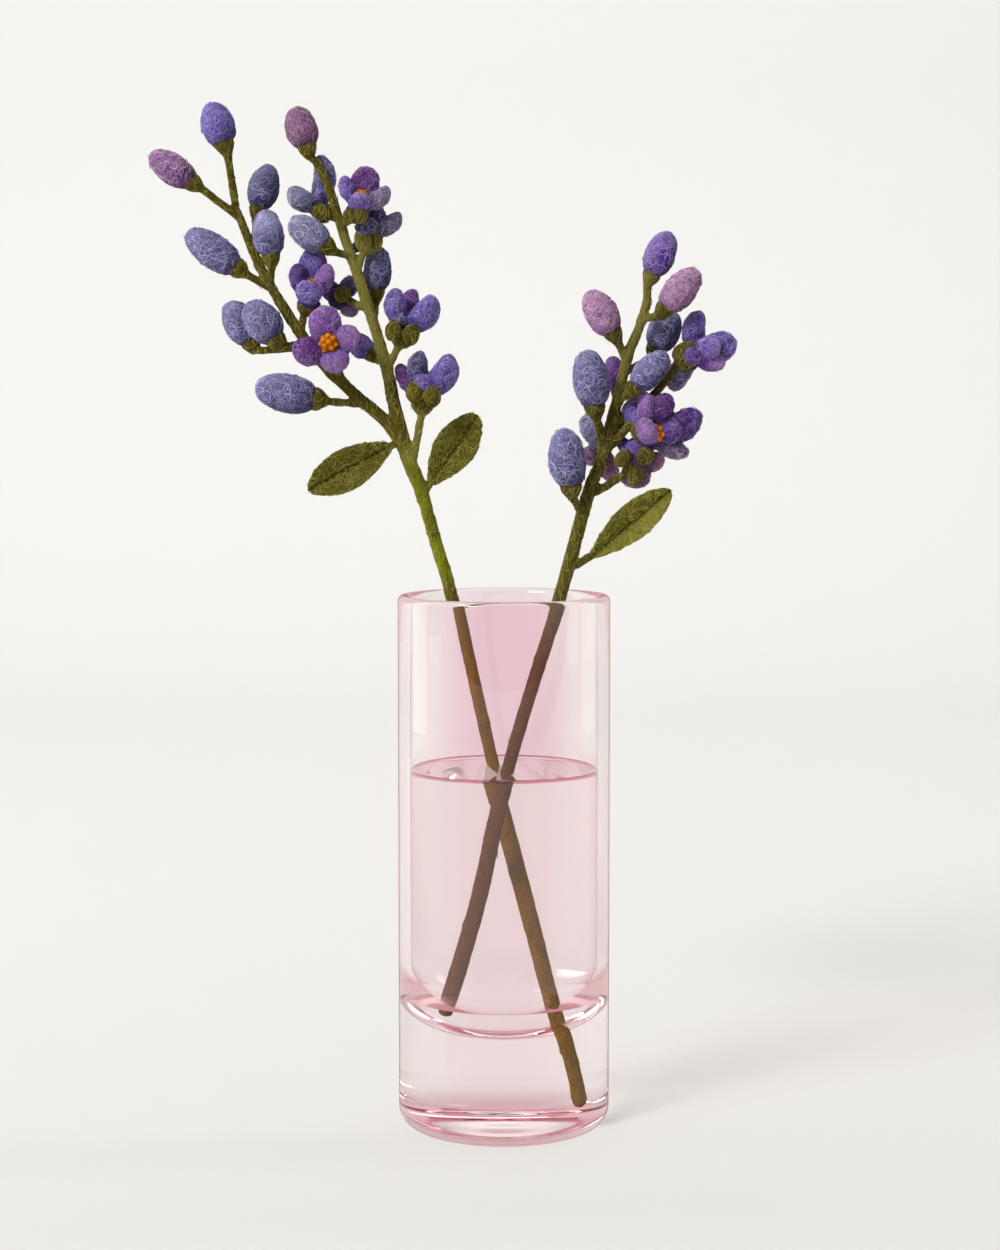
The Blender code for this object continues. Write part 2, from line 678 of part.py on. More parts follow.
def leaf_mesh(sprig, leaf, grow=0.0, rows=10, columns=4):
    """Open blade of a leaf, folded along its midrib and arched along its length."""
    base, tip = leaf_base(sprig, leaf)
    axis = tip - base
    base = base - axis.normalized() * grow * MM
    across = axis.cross(Vector((0, 1, 0))).normalized()
    normal = across.cross(axis).normalized()
    if normal.y > 0:
        normal.negate()
    bm = bmesh.new()
    grid = []
    for row in range(rows + 1):
        t = row / rows
        swell = math.sin(math.pi * (LEAF_ENDS + (1 - 2 * LEAF_ENDS) * t)) ** LEAF_FULLNESS
        reach = max(swell, LEAF_BLUNTNESS) * leaf.half_width
        line = []
        for column in range(columns + 1):
            s = column / columns * 2 - 1
            lift = (LEAF_FOLD * abs(s) * reach - math.sin(math.pi * t) * LEAF_ARCH) * MM
            side = across * s * (reach + grow) * MM
            line.append(bm.verts.new(base + axis * t + side + normal * lift))
        grid.append(line)
    for lower, upper in zip(grid, grid[1:]):
        for index in range(columns):
            bm.faces.new((lower[index], lower[index + 1], upper[index + 1], upper[index]))
    bmesh.ops.triangulate(bm, faces=bm.faces)
    bmesh.ops.recalc_face_normals(bm, faces=bm.faces)
    mesh = bpy.data.meshes.new("blade")
    bm.to_mesh(mesh)
    bm.free()
    mesh.shade_smooth()
    return mesh


def thicken(blade, thickness):
    """Give an open blade its felt thickness, in mm."""
    modifier = blade.modifiers.new("felt", "SOLIDIFY")
    modifier.thickness = thickness * MM
    modifier.offset = 0.0


def leaf_solid(sprig, leaf, helpers, grow=0.0):
    """A grown copy of a leaf, for the notch that its petiole holds it in."""
    blade = add_object("blade", leaf_mesh(sprig, leaf, grow), helpers)
    thicken(blade, LEAF_THICKNESS + 2 * grow)
    solid = add_object("blade_solid", evaluated_mesh(blade), helpers)
    bpy.data.objects.remove(blade, do_unlink=True)
    return solid


def make_leaves(sprig, parts):
    """The felt leaves of a sprig."""
    for leaf in sprig.leaves:
        blade = add_object(f"{sprig.name}_leaf_{leaf.number}", leaf_mesh(sprig, leaf), parts,
                           surface("felt_leaf", "#646331", 0.95))
        thicken(blade, LEAF_THICKNESS)


def main():
    """Build the vase, its water and both sprigs."""
    clear_scene()
    parts = new_collection("felt_flowers_in_vase")
    cutters = new_collection("cutters")
    helpers = new_collection("helpers")
    make_vase(parts, cutters, helpers)
    make_water(parts, cutters, helpers)
    for sprig in (LEFT, RIGHT):
        make_stem(sprig, parts, helpers)
        make_leaves(sprig, parts)
        make_buds(sprig, parts, helpers)
        make_flowers(sprig, parts, helpers)
    bpy.data.collections.remove(helpers)


main()
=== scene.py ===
"""Two sprigs of needle-felted wool flowers in a pink glass vase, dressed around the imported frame.

Places on the sprigs are in millimetres on the picture plane: x to the right of the vase's axis and z
above its foot, as they look from in front. View.sight() turns such a place and a depth into a point.
"""

import logging
import math
import random
from collections.abc import Callable, Iterable, Mapping, Sequence
from dataclasses import dataclass
from enum import Enum

import bmesh
import bpy
import numpy as np
from mathutils import Matrix, Vector, noise
from mathutils.bvhtree import BVHTree


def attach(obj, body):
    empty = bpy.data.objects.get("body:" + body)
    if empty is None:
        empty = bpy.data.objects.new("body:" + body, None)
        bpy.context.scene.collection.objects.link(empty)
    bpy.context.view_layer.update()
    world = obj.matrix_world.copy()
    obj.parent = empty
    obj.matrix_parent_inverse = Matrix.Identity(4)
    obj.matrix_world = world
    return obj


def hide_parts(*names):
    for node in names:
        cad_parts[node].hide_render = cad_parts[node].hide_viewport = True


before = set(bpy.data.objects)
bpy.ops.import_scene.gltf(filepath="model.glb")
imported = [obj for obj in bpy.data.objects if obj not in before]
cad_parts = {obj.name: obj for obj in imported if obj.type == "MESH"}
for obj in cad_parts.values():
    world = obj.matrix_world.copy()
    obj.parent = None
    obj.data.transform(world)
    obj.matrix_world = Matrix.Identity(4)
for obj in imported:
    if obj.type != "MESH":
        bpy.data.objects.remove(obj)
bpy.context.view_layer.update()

Tree = bpy.types.NodeTree
Socket = bpy.types.NodeSocket
Node = bpy.types.Node
Material = bpy.types.Material
Place = tuple[float, float]

MM = 0.001
LOG = logging.getLogger("felt_flowers")

# How finely the felt is drawn: the remeshing grid in mm, and the share of loose fibres
VOXEL = 0.5
FIBRE_SHARE = 1.0

# The felt's patterns, as repeats for each mm. Matted fibres wind round each other every 2 to 3 mm. They
# are drawn about 0.3 mm wide, coarser than real ones, so that they show: two layers, each with its
# windings, its shift and its lines' half width. They dive under each other every 2 mm, which breaks them
# up. The shade colour lies in patches about 4 mm across: partly wool that packs unevenly, and partly
# painted shade in the gaps between fibres. The wool's nap stands about 0.5 mm apart
WINDINGS = ((0.38, 0.0, 0.042), (0.56, 7.3, 0.05))
DIVES = 0.5
PATCHES = 0.26
NAP = 2.2
LINE_RELIEF = 0.8
LOFT = 0.7

# Loose fibres: how sharply they bend, how far their length, rise, thickness and paleness vary, the share
# of its length that a fibre lies flat before it may rise, and how thin its ends are
FIBRE_BEND = 0.45
FIBRE_WAVER = 0.2
FIBRE_LENGTHS = (0.6, 1.5)
FIBRE_RISES = (0.25, 0.75)
FIBRE_FLAT = 0.05
FIBRE_LIFT = 0.04
FIBRE_LYING = 0.45
FIBRE_TIP = 0.75
FIBRE_SIDES = 3
FIBRE_WIDTHS = (0.7, 1.25)
FIBRE_PALENESS = (0.55, 1.0)
# The share of fibres that stay where the deep colour lies, on deeper wool and in painted shade
FIBRES_ON_DEEP = 0.2

# Felt forms, in millimetres or as shares of a width
STALK_RADII = (2.45, 2.1, 1.85, 1.5)
TWIG_RADIUS = 1.4
# Where a stem's round end narrows, as a share of its radius, and to what share
STEM_SHOULDER = 0.6
STEM_NARROWED = 0.75
RIM_HEIGHT = 186.5
BUD_TAPER = -0.08
BUD_FULLNESS = 0.87
PETAL_PLUMPNESS = 0.78
PETAL_ROOT = 1.0
PETAL_TAPER = 0.28
PETAL_HOLLOW = 0.028
HEART_SIZE = (8.4, 8.4, 5.4)
HEART_SEAT = 1.0
LOBE_THICKNESS = 4.8
LOBE_FORWARD = 3.0
SIDEWAYS = Vector((1, 0, 0))
CUP_SIDES = 20
CUP_TEETH = 5
CUP_SHARE = 0.235
CUP_WALL = 0.45
CUP_DEPTH = 4.4
CUP_FLOOR = 0.3
TWIG_END = 3.0
# Places along a bud's cup in mm, from under its seat up to its rim, each with its share of the width
CUP_RINGS = ((-4.0, 0.46), (-3.1, 0.58), (-2.3, 0.77), (-1.5, 0.93), (-0.6, 1.06), (0.4, 1.14),
             (1.3, 1.14), (1.2, 0.8))
SEAT_DEPTH = 0.3
KNOTS = 22
KNOT_SHARES = (0.5, 0.62)
CORE_SHARE = 1.66
CENTRE_VOXEL = 0.32
# A stem's wool by its height in mm: deep below zero, in the vase, and bright above it, over the rim
STEM_HEIGHTS = (0, 170, 186, 196, 225, 250)
STEM_WOOLS = (-1, -1, -0.5, 1, 0.6, 0)

# Lumps in each felt piece: their depth and their spacing in mm
BUD_LUMPS = ((0.16, 5.0), (0.15, 1.7), (0.12, 0.8))
PETAL_LUMPS = ((0.25, 4.5), (0.18, 1.6))
LEAF_LUMPS = ((0.3, 7.0), (0.2, 2.2), (0.14, 0.9))
STEM_LUMPS = ((0.08, 6.0), (0.11, 1.6))

# Fibres for each square millimetre of a bud or a petal, and on a leaf, a centre, a stem and a forked stem
BUD_FIBRES = 0.27
PETAL_FIBRES = 0.2
LEAF_FIBRES = 460
CENTRE_FIBRES = 24
STEM_FIBRES = 1000
FORKED_STEM_FIBRES = 1500

# The ways that a bud's shaded side and its lit side look, for its painted shade and painted highlight
DUSK = np.array((0.6, 0.1, -0.79))
DAWN = np.array((-0.55, -0.3, 0.78))


def linear(hex_colour: str) -> tuple[float, float, float, float]:
    """Turn an sRGB hex colour into linear RGBA.

    Args:
        hex_colour: the colour as "#RRGGBB".

    Returns:
        The linear red, green and blue, with an alpha of one.
    """
    values = [int(hex_colour[i:i + 2], 16) / 255 for i in (1, 3, 5)]
    red, green, blue = (v / 12.92 if v <= 0.04045 else ((v + 0.055) / 1.055) ** 2.4 for v in values)
    return red, green, blue, 1.0


def add_node(tree: Tree, kind: str, inputs: Mapping | None = None, **settings) -> Node:
    """Add a node with its settings and links.

    Args:
        tree: the node tree.
        kind: the node's type name.
        inputs: values or output sockets for the node's inputs, by their name or place.
        **settings: the node's own properties.

    Returns:
        The new node.
    """
    node = tree.nodes.new(kind)
    for key, value in settings.items():
        setattr(node, key, value)
    for key, value in (inputs or {}).items():
        if isinstance(value, Socket):
            tree.links.new(value, node.inputs[key])
        else:
            node.inputs[key].default_value = value
    return node


def empty_material(name: str) -> tuple[Material, Tree]:
    """Make a material with an empty node tree."""
    material = bpy.data.materials.new(name)
    material.use_nodes = True
    material.node_tree.nodes.clear()
    return material, material.node_tree


def tint(tree: Tree, start: str, layers: Iterable[tuple[Socket, str]]) -> Socket:
    """Lay colours over one another.

    Args:
        tree: the node tree.
        start: the lowest colour.
        layers: the amount and the colour of each layer above it.

    Returns:
        The socket of the mixed colour.
    """
    colour = linear(start)
    for amount, other in layers:
        mix = add_node(tree, "ShaderNodeMix", {0: amount, 6: colour, 7: linear(other)}, data_type="RGBA")
        colour = mix.outputs[2]
    return colour


def rise(tree: Tree, value: Socket, low: float, high: float, top: float = 1.0) -> Socket:
    """Rise softly from zero to the top as a value goes from low to high."""
    return add_node(tree, "ShaderNodeMapRange", {"Value": value, "From Min": low, "From Max": high,
                                                 "To Max": top}, interpolation_type="SMOOTHSTEP").outputs[0]


def combine(tree: Tree, operation: str, *values: Socket | float, clamp: bool = False) -> Socket:
    """Work out one value from one, two or three."""
    return add_node(tree, "ShaderNodeMath", dict(enumerate(values)), operation=operation,
                    use_clamp=clamp).outputs[0]


def add_object(name: str, data: bpy.types.ID) -> bpy.types.Object:
    """Put an object with the data into the scene, at the origin."""
    new = bpy.data.objects.new(name, data)
    bpy.context.scene.collection.objects.link(new)
    return new


def stand_for(piece: bpy.types.Object, node: str) -> None:
    """Let a piece stand for a CAD node and ride on the body, hiding the node's own part."""
    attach(piece, "root")
    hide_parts(node)
    LOG.info("%s stands for %s, %d faces", piece.name, node, len(piece.data.polygons))


# Finishes

@dataclass(frozen=True)
class WoolFelt:
    """Needle-felted merino wool, packed by hand so that pale fibres stay tangled over a deeper ground.

    Wool scatters light, so it is nearly matt, with a soft sheen where standing fibres catch the light at
    its edges. Where "upright" is under one, the fibres are drawn out along a stem. The attribute "blend"
    runs to the blush colour above zero and to the deep colour below it. The blush is a second wool on buds
    and stems, and a painted highlight on petals, leaves and the centres' knots. The deep colour is deeper
    wool on the wet stems, and painted shade on buds, petals, leaves and centres. The attribute "strand" is
    above zero on loose fibres, where pale wool lies on top, and where a painted highlight pales a bud's lit
    side, a leaf's lit half and some stalks.
    """
    wool: str
    ground: str
    shade: str
    fibre: str
    blush: str
    deep: str
    tangle: float = 0.8
    patchy: float = 0.85
    upright: float = 1.0
    roughness: float = 0.92
    ior: float = 1.5
    gloss: float = 0.18
    sheen: float = 0.24
    calming: float = 0.85

    def material(self) -> Material:
        """Make the felt's material, or find it if it is already made.

        Returns:
            The material.
        """
        name = "felted_wool_" + self.wool
        found = bpy.data.materials.get(name)
        if found is not None:
            return found
        material, tree = empty_material(name)
        place = add_node(tree, "ShaderNodeTexCoord").outputs["Object"]
        place = add_node(tree, "ShaderNodeVectorMath", {0: place, 1: (1 / MM, 1 / MM, self.upright / MM)},
                         operation="MULTIPLY").outputs["Vector"]
        tangles = [self.winding_lines(tree, place, *layer) for layer in WINDINGS]
        dives = add_node(tree, "ShaderNodeTexNoise", {"Vector": place, "Scale": DIVES, "Detail": 1.0})
        lines = combine(tree, "MULTIPLY", combine(tree, "MAXIMUM", *tangles),
                        rise(tree, dives.outputs[0], 0.4, 0.56))
        # Painted shade and uneven packing: the shade colour is laid in patches between the fibres
        patches = add_node(tree, "ShaderNodeTexNoise", {"Vector": place, "Scale": PATCHES, "Detail": 4.0,
                                                        "Roughness": 0.75})
        patch = rise(tree, patches.outputs[0], 0.42, 0.64, self.patchy)
        blend, strand = (add_node(tree, "ShaderNodeAttribute", attribute_name=mark).outputs["Fac"]
                         for mark in ("blend", "strand"))
        under, over = (combine(tree, "MULTIPLY", blend, way, clamp=True) for way in (-1.0, 1.0))
        # Where the deep colour lies on top, as deeper wool on the wet stems and as painted shade elsewhere,
        # the patches, the lines and the sheen are calmer
        calm = combine(tree, "MULTIPLY_ADD", under, -self.calming, 1.0)
        faint = combine(tree, "MULTIPLY", combine(tree, "MULTIPLY", lines, self.tangle), calm)
        # Over the ground lie the blush (second wool and painted highlight), the shade patches (uneven
        # packing and painted shade), the deep colour (deeper wool and painted shade), the pale lines and the
        # strands
        colour = tint(tree, self.ground, (
            (over, self.blush), (combine(tree, "MULTIPLY", patch, calm), self.shade), (under, self.deep),
            (faint, self.fibre), (combine(tree, "MULTIPLY", strand, calm), self.fibre)))
        nap = add_node(tree, "ShaderNodeTexNoise", {"Vector": place, "Scale": NAP, "Detail": 3.0})
        height = combine(tree, "MULTIPLY_ADD", lines, LINE_RELIEF, nap.outputs[0])
        bump = add_node(tree, "ShaderNodeBump", {"Strength": 0.9, "Distance": LOFT * MM, "Height": height})
        shader = add_node(tree, "ShaderNodeBsdfPrincipled",
                          {"Base Color": colour, "Roughness": self.roughness, "IOR": self.ior,
                           "Specular IOR Level": combine(tree, "MULTIPLY", calm, self.gloss),
                           "Sheen Weight": combine(tree, "MULTIPLY", calm, self.sheen),
                           "Sheen Roughness": 0.45, "Sheen Tint": linear(self.fibre),
                           "Normal": bump.outputs[0]})
        add_node(tree, "ShaderNodeOutputMaterial", {"Surface": shader.outputs[0]})
        material.diffuse_color = linear(self.ground)
        return material

    @staticmethod
    def winding_lines(tree: Tree, place: Socket, scale: float, shift: float, width: float) -> Socket:
        """Draw thin winding lines, along which a smooth noise passes its middle value.

        Args:
            tree: the material's node tree.
            place: the place on the surface in mm.
            scale: windings for each mm.
            shift: moves one layer of lines off another.
            width: half width of a line, as a share of the noise's range.

        Returns:
            A socket that is one on a line's middle and zero off it.
        """
        moved = add_node(tree, "ShaderNodeVectorMath", {0: place, 1: (shift, -shift, 2 * shift)},
                         operation="ADD").outputs[0]
        field = add_node(tree, "ShaderNodeTexNoise",
                         {"Vector": moved, "Scale": scale, "Detail": 1.0, "Distortion": 1.6}).outputs[0]
        off = combine(tree, "ABSOLUTE", combine(tree, "SUBTRACT", field, 0.5))
        return add_node(tree, "ShaderNodeMapRange", {"Value": off, "From Max": width, "To Min": 1.0,
                                                     "To Max": 0.0},
                        interpolation_type="SMOOTHSTEP").outputs[0]


class Wool(Enum):
    """The wools that the sprigs are felted from.

    Each gives its name, its ground, shade, fibre, blush and deep colours, and then, where they aren't
    the usual ones, its tangle, its patchiness and its upright share. The shade, blush and deep colours
    carry painted shade and painted highlight as well as the wool's own tones.
    """
    VIOLET = WoolFelt("violet", "#6D57B5", "#362A67", "#CAB9FF", "#8A62B0", "#33244F")
    PURPLE = WoolFelt("purple", "#7450B4", "#3A2668", "#CDB6F6", "#8A5CB0", "#36224F")
    IRIS = WoolFelt("iris", "#805FC6", "#4A3382", "#CCB8F8", "#A284C8", "#3F2C66", 0.5)
    AUBERGINE = WoolFelt("aubergine", "#512C83", "#2A114C", "#A78AD1", "#6E4C92", "#1F1230", 0.5)
    PLUM = WoolFelt("plum", "#703891", "#3B1B55", "#C298DA", "#A870B2", "#2A1438", 0.5)
    ORCHID = WoolFelt("orchid", "#905CB7", "#542E75", "#D7B5EE", "#B886BC", "#3C2350", 0.45, 0.6)
    BLUE = WoolFelt("blue", "#5D5A8B", "#2F2D4F", "#D1CCFE", "#7F6EAE", "#33304F")
    SLATE = WoolFelt("slate", "#504D7B", "#24233D", "#B8B4DD", "#6C5886", "#25213A")
    LAVENDER = WoolFelt("lavender", "#7E7CAC", "#404062", "#DFDEFA", "#A6A2BE", "#474058")
    LILAC = WoolFelt("lilac", "#BC87B8", "#6A476D", "#F9CFF3", "#7E56A0", "#5A3A62")
    MAUVE = WoolFelt("mauve", "#8D5C8A", "#4E2D50", "#D5ADCF", "#96708F", "#3C2638")
    HEATHER = WoolFelt("heather", "#7B6694", "#382B4D", "#D5C8E4", "#9A7C9E", "#2C2238", 0.6)
    ROSE_VIOLET = WoolFelt("rose_violet", "#7E4B84", "#522567", "#F3CAF1", "#6A4696", "#4A2A58")
    ORANGE = WoolFelt("orange", "#FF9A12", "#E87A04", "#FFC65A", "#FFB43C", "#C05C02", 0.4)
    OLIVE = WoolFelt("olive", "#5A4D0C", "#2D2808", "#B4AE58", "#828C00", "#7A5400", 0.5, 0.6, 0.35)
    UMBER = WoolFelt("umber", "#534612", "#2B2608", "#A8A254", "#7C8008", "#6C4326", 0.5, 0.6, 0.35)
    LEAF = WoolFelt("leaf", "#5A550E", "#272505", "#B4AE50", "#6C672A", "#1C1804", 0.5, 0.2)


@dataclass(frozen=True)
class ClearBody:
    """A clear, smooth body that lamps and bounced light pass straight through.

    The felt inside the vase is lit so, and the vase's shadow stays soft. Seen edge on, the body shows as
    a thin line of the edge's colour. A ray that has been trapped inside for long is let out, as it would
    be in the end.
    """
    name: str
    ior: float
    shade: str
    edge: str
    trapped: str = "#F0CBD1"
    edge_start: float = 0.78
    edge_most: float = 0.92
    longest: float = 6.5
    mirrored: float = 2.5

    def material(self, colour: Callable[[Tree], object]) -> Material:
        """Make the material.

        Args:
            colour: gives the colour, or its socket, that light takes as it passes.

        Returns:
            The material.
        """
        material, tree = empty_material(self.name)
        glass = add_node(tree, "ShaderNodeBsdfPrincipled", {"Base Color": colour(tree), "Roughness": 0.0,
                                                            "IOR": self.ior, "Transmission Weight": 1.0})
        facing = add_node(tree, "ShaderNodeLayerWeight", {"Blend": 0.5}).outputs["Facing"]
        rim = rise(tree, facing, self.edge_start, 1.0, self.edge_most)
        lined = self.over(tree, rim, glass, self.edge)
        path = add_node(tree, "ShaderNodeLightPath")
        late = combine(tree, "MAXIMUM",
                       combine(tree, "GREATER_THAN", path.outputs["Ray Depth"], self.longest),
                       combine(tree, "GREATER_THAN", path.outputs["Glossy Depth"], self.mirrored))
        freed = self.over(tree, late, lined, self.trapped)
        straight = combine(tree, "MAXIMUM", path.outputs["Is Shadow Ray"], path.outputs["Is Diffuse Ray"])
        surface = self.over(tree, straight, freed, self.shade)
        add_node(tree, "ShaderNodeOutputMaterial", {"Surface": surface.outputs[0]})
        material.diffuse_color = linear(self.shade)
        return material

    @staticmethod
    def over(tree: Tree, amount: Socket, shader: Node, colour: str) -> Node:
        """Let light of a colour straight through a shader, by an amount."""
        clear = add_node(tree, "ShaderNodeBsdfTransparent", {0: linear(colour)})
        return add_node(tree, "ShaderNodeMixShader", {0: amount, 1: shader.outputs[0], 2: clear.outputs[0]})


@dataclass(frozen=True)
class RoseGlass:
    """Soda-lime glass with a rose lustre, blown into a mould and fire polished.

    Fire polishing leaves no grain. The lustre is a thin film on the surface, so the heavy base is no
    pinker than the thin wall. It is a deeper rose round the foot, and rose face on. At a slant it pales
    towards white, a painted reflection of the pale room. Heights are in mm.
    """
    name: str = "blown_rose_glass"
    ior: float = 1.45
    water_ior: float = 1.333
    foot: str = "#B25569"
    base: str = "#FEEAEE"
    base_painted_reflection: str = "#FEF5F6"
    wall: str = "#FCE9F0"
    wall_painted_reflection: str = "#FEFAF9"
    edge: str = "#C67C8B"
    shade: str = "#FEFBFA"
    clear: str = "#FEFAFB"
    foot_height: float = 12.0
    band_height: float = 128.0
    band_blur: float = 1.0
    slant: tuple[float, float] = (0.03, 0.22)

    def film(self, tree: Tree) -> Socket:
        """Colour of the lustre, by height, paled by a painted reflection where the wall turns away."""
        place = add_node(tree, "ShaderNodeTexCoord").outputs["Object"]
        height = add_node(tree, "ShaderNodeSeparateXYZ", {0: place}).outputs["Z"]
        facing = add_node(tree, "ShaderNodeLayerWeight", {"Blend": 0.5}).outputs["Facing"]
        # Painted reflection: the lustre pales towards white where the wall turns away
        slant = rise(tree, facing, *self.slant)
        above_foot = rise(tree, height, 0.0, self.foot_height * MM)
        above_water = rise(tree, height, (self.band_height - self.band_blur) * MM,
                           (self.band_height + self.band_blur) * MM)
        return tint(tree, self.foot, (
            (above_foot, self.base),
            (combine(tree, "MULTIPLY", above_foot, slant), self.base_painted_reflection),
            (above_water, self.wall),
            (combine(tree, "MULTIPLY", above_water, slant), self.wall_painted_reflection)))

    def dry(self) -> Material:
        """Make the glass that meets the air."""
        return ClearBody(self.name, self.ior, self.shade, self.edge).material(self.film)

    def wet(self, part: str, ior: float) -> Material:
        """Make a part of the well's wall, which is clearer than the outside."""
        return ClearBody(self.name + part, ior, self.shade, self.edge).material(
            lambda tree: linear(self.clear))

    def beside_water(self) -> Material:
        """Make the well's upright wall."""
        return self.wet("_beside_water", self.ior)

    def under_water(self) -> Material:
        """Make the well's round bottom, where the water lies on the glass and bends light less."""
        return self.wet("_under_water", self.ior / self.water_ior)


@dataclass(frozen=True)
class ClearWater:
    """Still tap water: perfectly smooth, and clear at this depth. Its curled rim, and its face seen edge on,
    show as rose lines: painted, standing in for the rose glass seen through them.
    """
    ior: float = 1.333
    edge_start: float = 0.85
    colour: str = "#FFFFFF"
    shade: str = "#FDFDFD"
    edge: str = "#C48A92"
    rim_painted_glass_colour: str = "#C06472"
    rim_shade: str = "#F6E6E8"
    rim_edge: str = "#B06A76"

    def free(self) -> Material:
        """Make the faces that meet the air."""
        return ClearBody("still_water", self.ior, self.shade, self.edge,
                         edge_start=self.edge_start).material(lambda tree: linear(self.colour))

    def rim(self) -> Material:
        """Make the water's curled rim at the glass, painted rose for the glass seen through it."""
        return ClearBody("still_water_meniscus", self.ior, self.rim_shade, self.rim_edge).material(
            lambda tree: linear(self.rim_painted_glass_colour))

    def resting(self) -> Material:
        """Make the face that rests on the glass, where the glass's own face bends the light."""
        material, tree = empty_material("still_water_on_glass")
        water = add_node(tree, "ShaderNodeBsdfPrincipled", {"Base Color": linear(self.colour),
                                                            "Alpha": 0.0, "Roughness": 0.0})
        add_node(tree, "ShaderNodeOutputMaterial", {"Surface": water.outputs[0]})
        return material


@dataclass(frozen=True)
class PaperSweep:
    """Matt white background paper with a faint tooth."""
    colour: str = "#E6E6E4"
    tooth: float = 0.4

    def material(self) -> Material:
        """Make the paper's material."""
        material, tree = empty_material("background_paper")
        place = add_node(tree, "ShaderNodeTexCoord").outputs["Object"]
        grain = add_node(tree, "ShaderNodeTexNoise", {"Vector": place, "Scale": 1 / (self.tooth * MM)})
        bump = add_node(tree, "ShaderNodeBump", {"Strength": 0.05, "Distance": 0.05 * MM,
                                                 "Height": grain.outputs[0]})
        paper = add_node(tree, "ShaderNodeBsdfPrincipled",
                         {"Base Color": linear(self.colour), "Roughness": 0.9,
                          "Specular IOR Level": 0.1, "Normal": bump.outputs[0]})
        add_node(tree, "ShaderNodeOutputMaterial", {"Surface": paper.outputs[0]})
        return material


# View and studio

@dataclass(frozen=True)
class View:
    """The camera, and the picture plane that the sprigs' places are on. Lengths are in mm."""
    distance: float = 930.0
    height: float = 258.0
    side: float = -1.4
    pitch: float = math.radians(4.84)
    picture_distance: float = 941.0
    picture_middle: float = 176.65
    focal_pixels: float = 2641.0
    image_height: int = 1250
    sensor: float = 36.0

    def sight(self, x: float, z: float, depth: float) -> Vector:
        """Find the point seen at a place on the picture plane.

        Args:
            x: mm to the right of the vase's axis.
            z: mm above the vase's foot.
            depth: mm behind the vase's axis.

        Returns:
            The point in metres.
        """
        eye = Vector((self.side, -self.distance, self.height))
        ahead = Vector((0, math.cos(self.pitch), -math.sin(self.pitch)))
        upward = Vector((0, math.sin(self.pitch), math.cos(self.pitch)))
        ray = (ahead * self.picture_distance + Vector((x - self.side, 0, 0))
               + upward * (z - self.picture_middle))
        return (eye + ray * ((depth - eye.y) / ray.y)) * MM

    def add_camera(self) -> None:
        """Put the camera where the photograph was taken from."""
        lens = bpy.data.cameras.new("camera")
        lens.sensor_width = self.sensor
        lens.lens = self.focal_pixels / self.image_height * self.sensor
        lens.clip_start = 0.01
        lens.clip_end = 20.0
        camera = add_object("camera", lens)
        camera.location = Vector((self.side, -self.distance, self.height)) * MM
        camera.rotation_euler = (math.pi / 2 - self.pitch, 0, 0)
        bpy.context.scene.camera = camera


VIEW = View()


@dataclass(frozen=True)
class Lamp:
    """One soft box: its place and aim in metres, its size in metres and its power in watts."""
    name: str
    place: tuple[float, float, float]
    aim: tuple[float, float, float]
    size: tuple[float, float]
    power: float
    colour: str = "#FFFFFF"

    def add(self) -> None:
        """Add the lamp to the scene."""
        light = bpy.data.lights.new(self.name, "AREA")
        light.shape = "RECTANGLE"
        light.size, light.size_y = self.size
        light.energy = self.power
        light.color = linear(self.colour)[:3]
        lamp = add_object(self.name, light)
        lamp.location = self.place
        lamp.rotation_euler = (Vector(self.aim) - Vector(self.place)).to_track_quat("-Z", "Y").to_euler()


@dataclass(frozen=True)
class Studio:
    """A paper sweep, soft boxes and a dim front, as a tabletop studio has them. Lengths are in metres.

    The paper lies a hair under the vase's foot, so that the two don't share a plane.
    """
    lamps: tuple[Lamp, ...]
    half_width: float = 3.0
    near: float = -2.5
    back: float = 1.3
    bend: float = 0.6
    top: float = 2.6
    steps: int = 24
    drop: float = 0.00015
    fill: str = "#949291"
    walls: str = "#F3F1F0"
    front: str = "#5E5253"
    front_edge: tuple[float, float] = (-0.92, -0.45)

    def build(self) -> None:
        """Build the sweep, the lamps and the world."""
        profile = [(self.near, 0.0), (self.back, 0.0)]
        for step in range(1, self.steps + 1):
            angle = math.pi / 2 * step / self.steps
            profile.append((self.back + self.bend * math.sin(angle), self.bend * (1 - math.cos(angle))))
        profile.append((self.back + self.bend, self.top))
        points = [Vector((side * self.half_width, y, z - self.drop)) for y, z in profile for side in (-1, 1)]
        faces = [(i, i + 1, i + 3, i + 2) for i in range(0, 2 * len(profile) - 2, 2)]
        mesh = bpy.data.meshes.new("paper_sweep")
        mesh.from_pydata(points, [], faces)
        mesh.shade_smooth()
        mesh.materials.append(PaperSweep().material())
        sweep = add_object("paper_sweep", mesh)
        for lamp in self.lamps:
            lamp.add()
        self.light_world()
        bpy.context.scene.view_settings.view_transform = "Standard"

    def light_world(self) -> None:
        """Light the room evenly, and give the glass pale walls and a dimmer rosy front to show."""
        world = bpy.data.worlds.new("studio")
        world.use_nodes = True
        tree = world.node_tree
        tree.nodes.clear()
        way = add_node(tree, "ShaderNodeTexCoord").outputs["Generated"]
        forward = add_node(tree, "ShaderNodeSeparateXYZ", {0: way}).outputs["Y"]
        behind = rise(tree, forward, *self.front_edge)
        scattered = add_node(tree, "ShaderNodeLightPath").outputs["Is Diffuse Ray"]
        colour = tint(tree, self.front, ((behind, self.walls), (scattered, self.fill)))
        glow = add_node(tree, "ShaderNodeBackground", {"Color": colour, "Strength": 1.0})
        add_node(tree, "ShaderNodeOutputWorld", {0: glow.outputs[0]})
        bpy.context.scene.world = world


# Drawing closed bodies

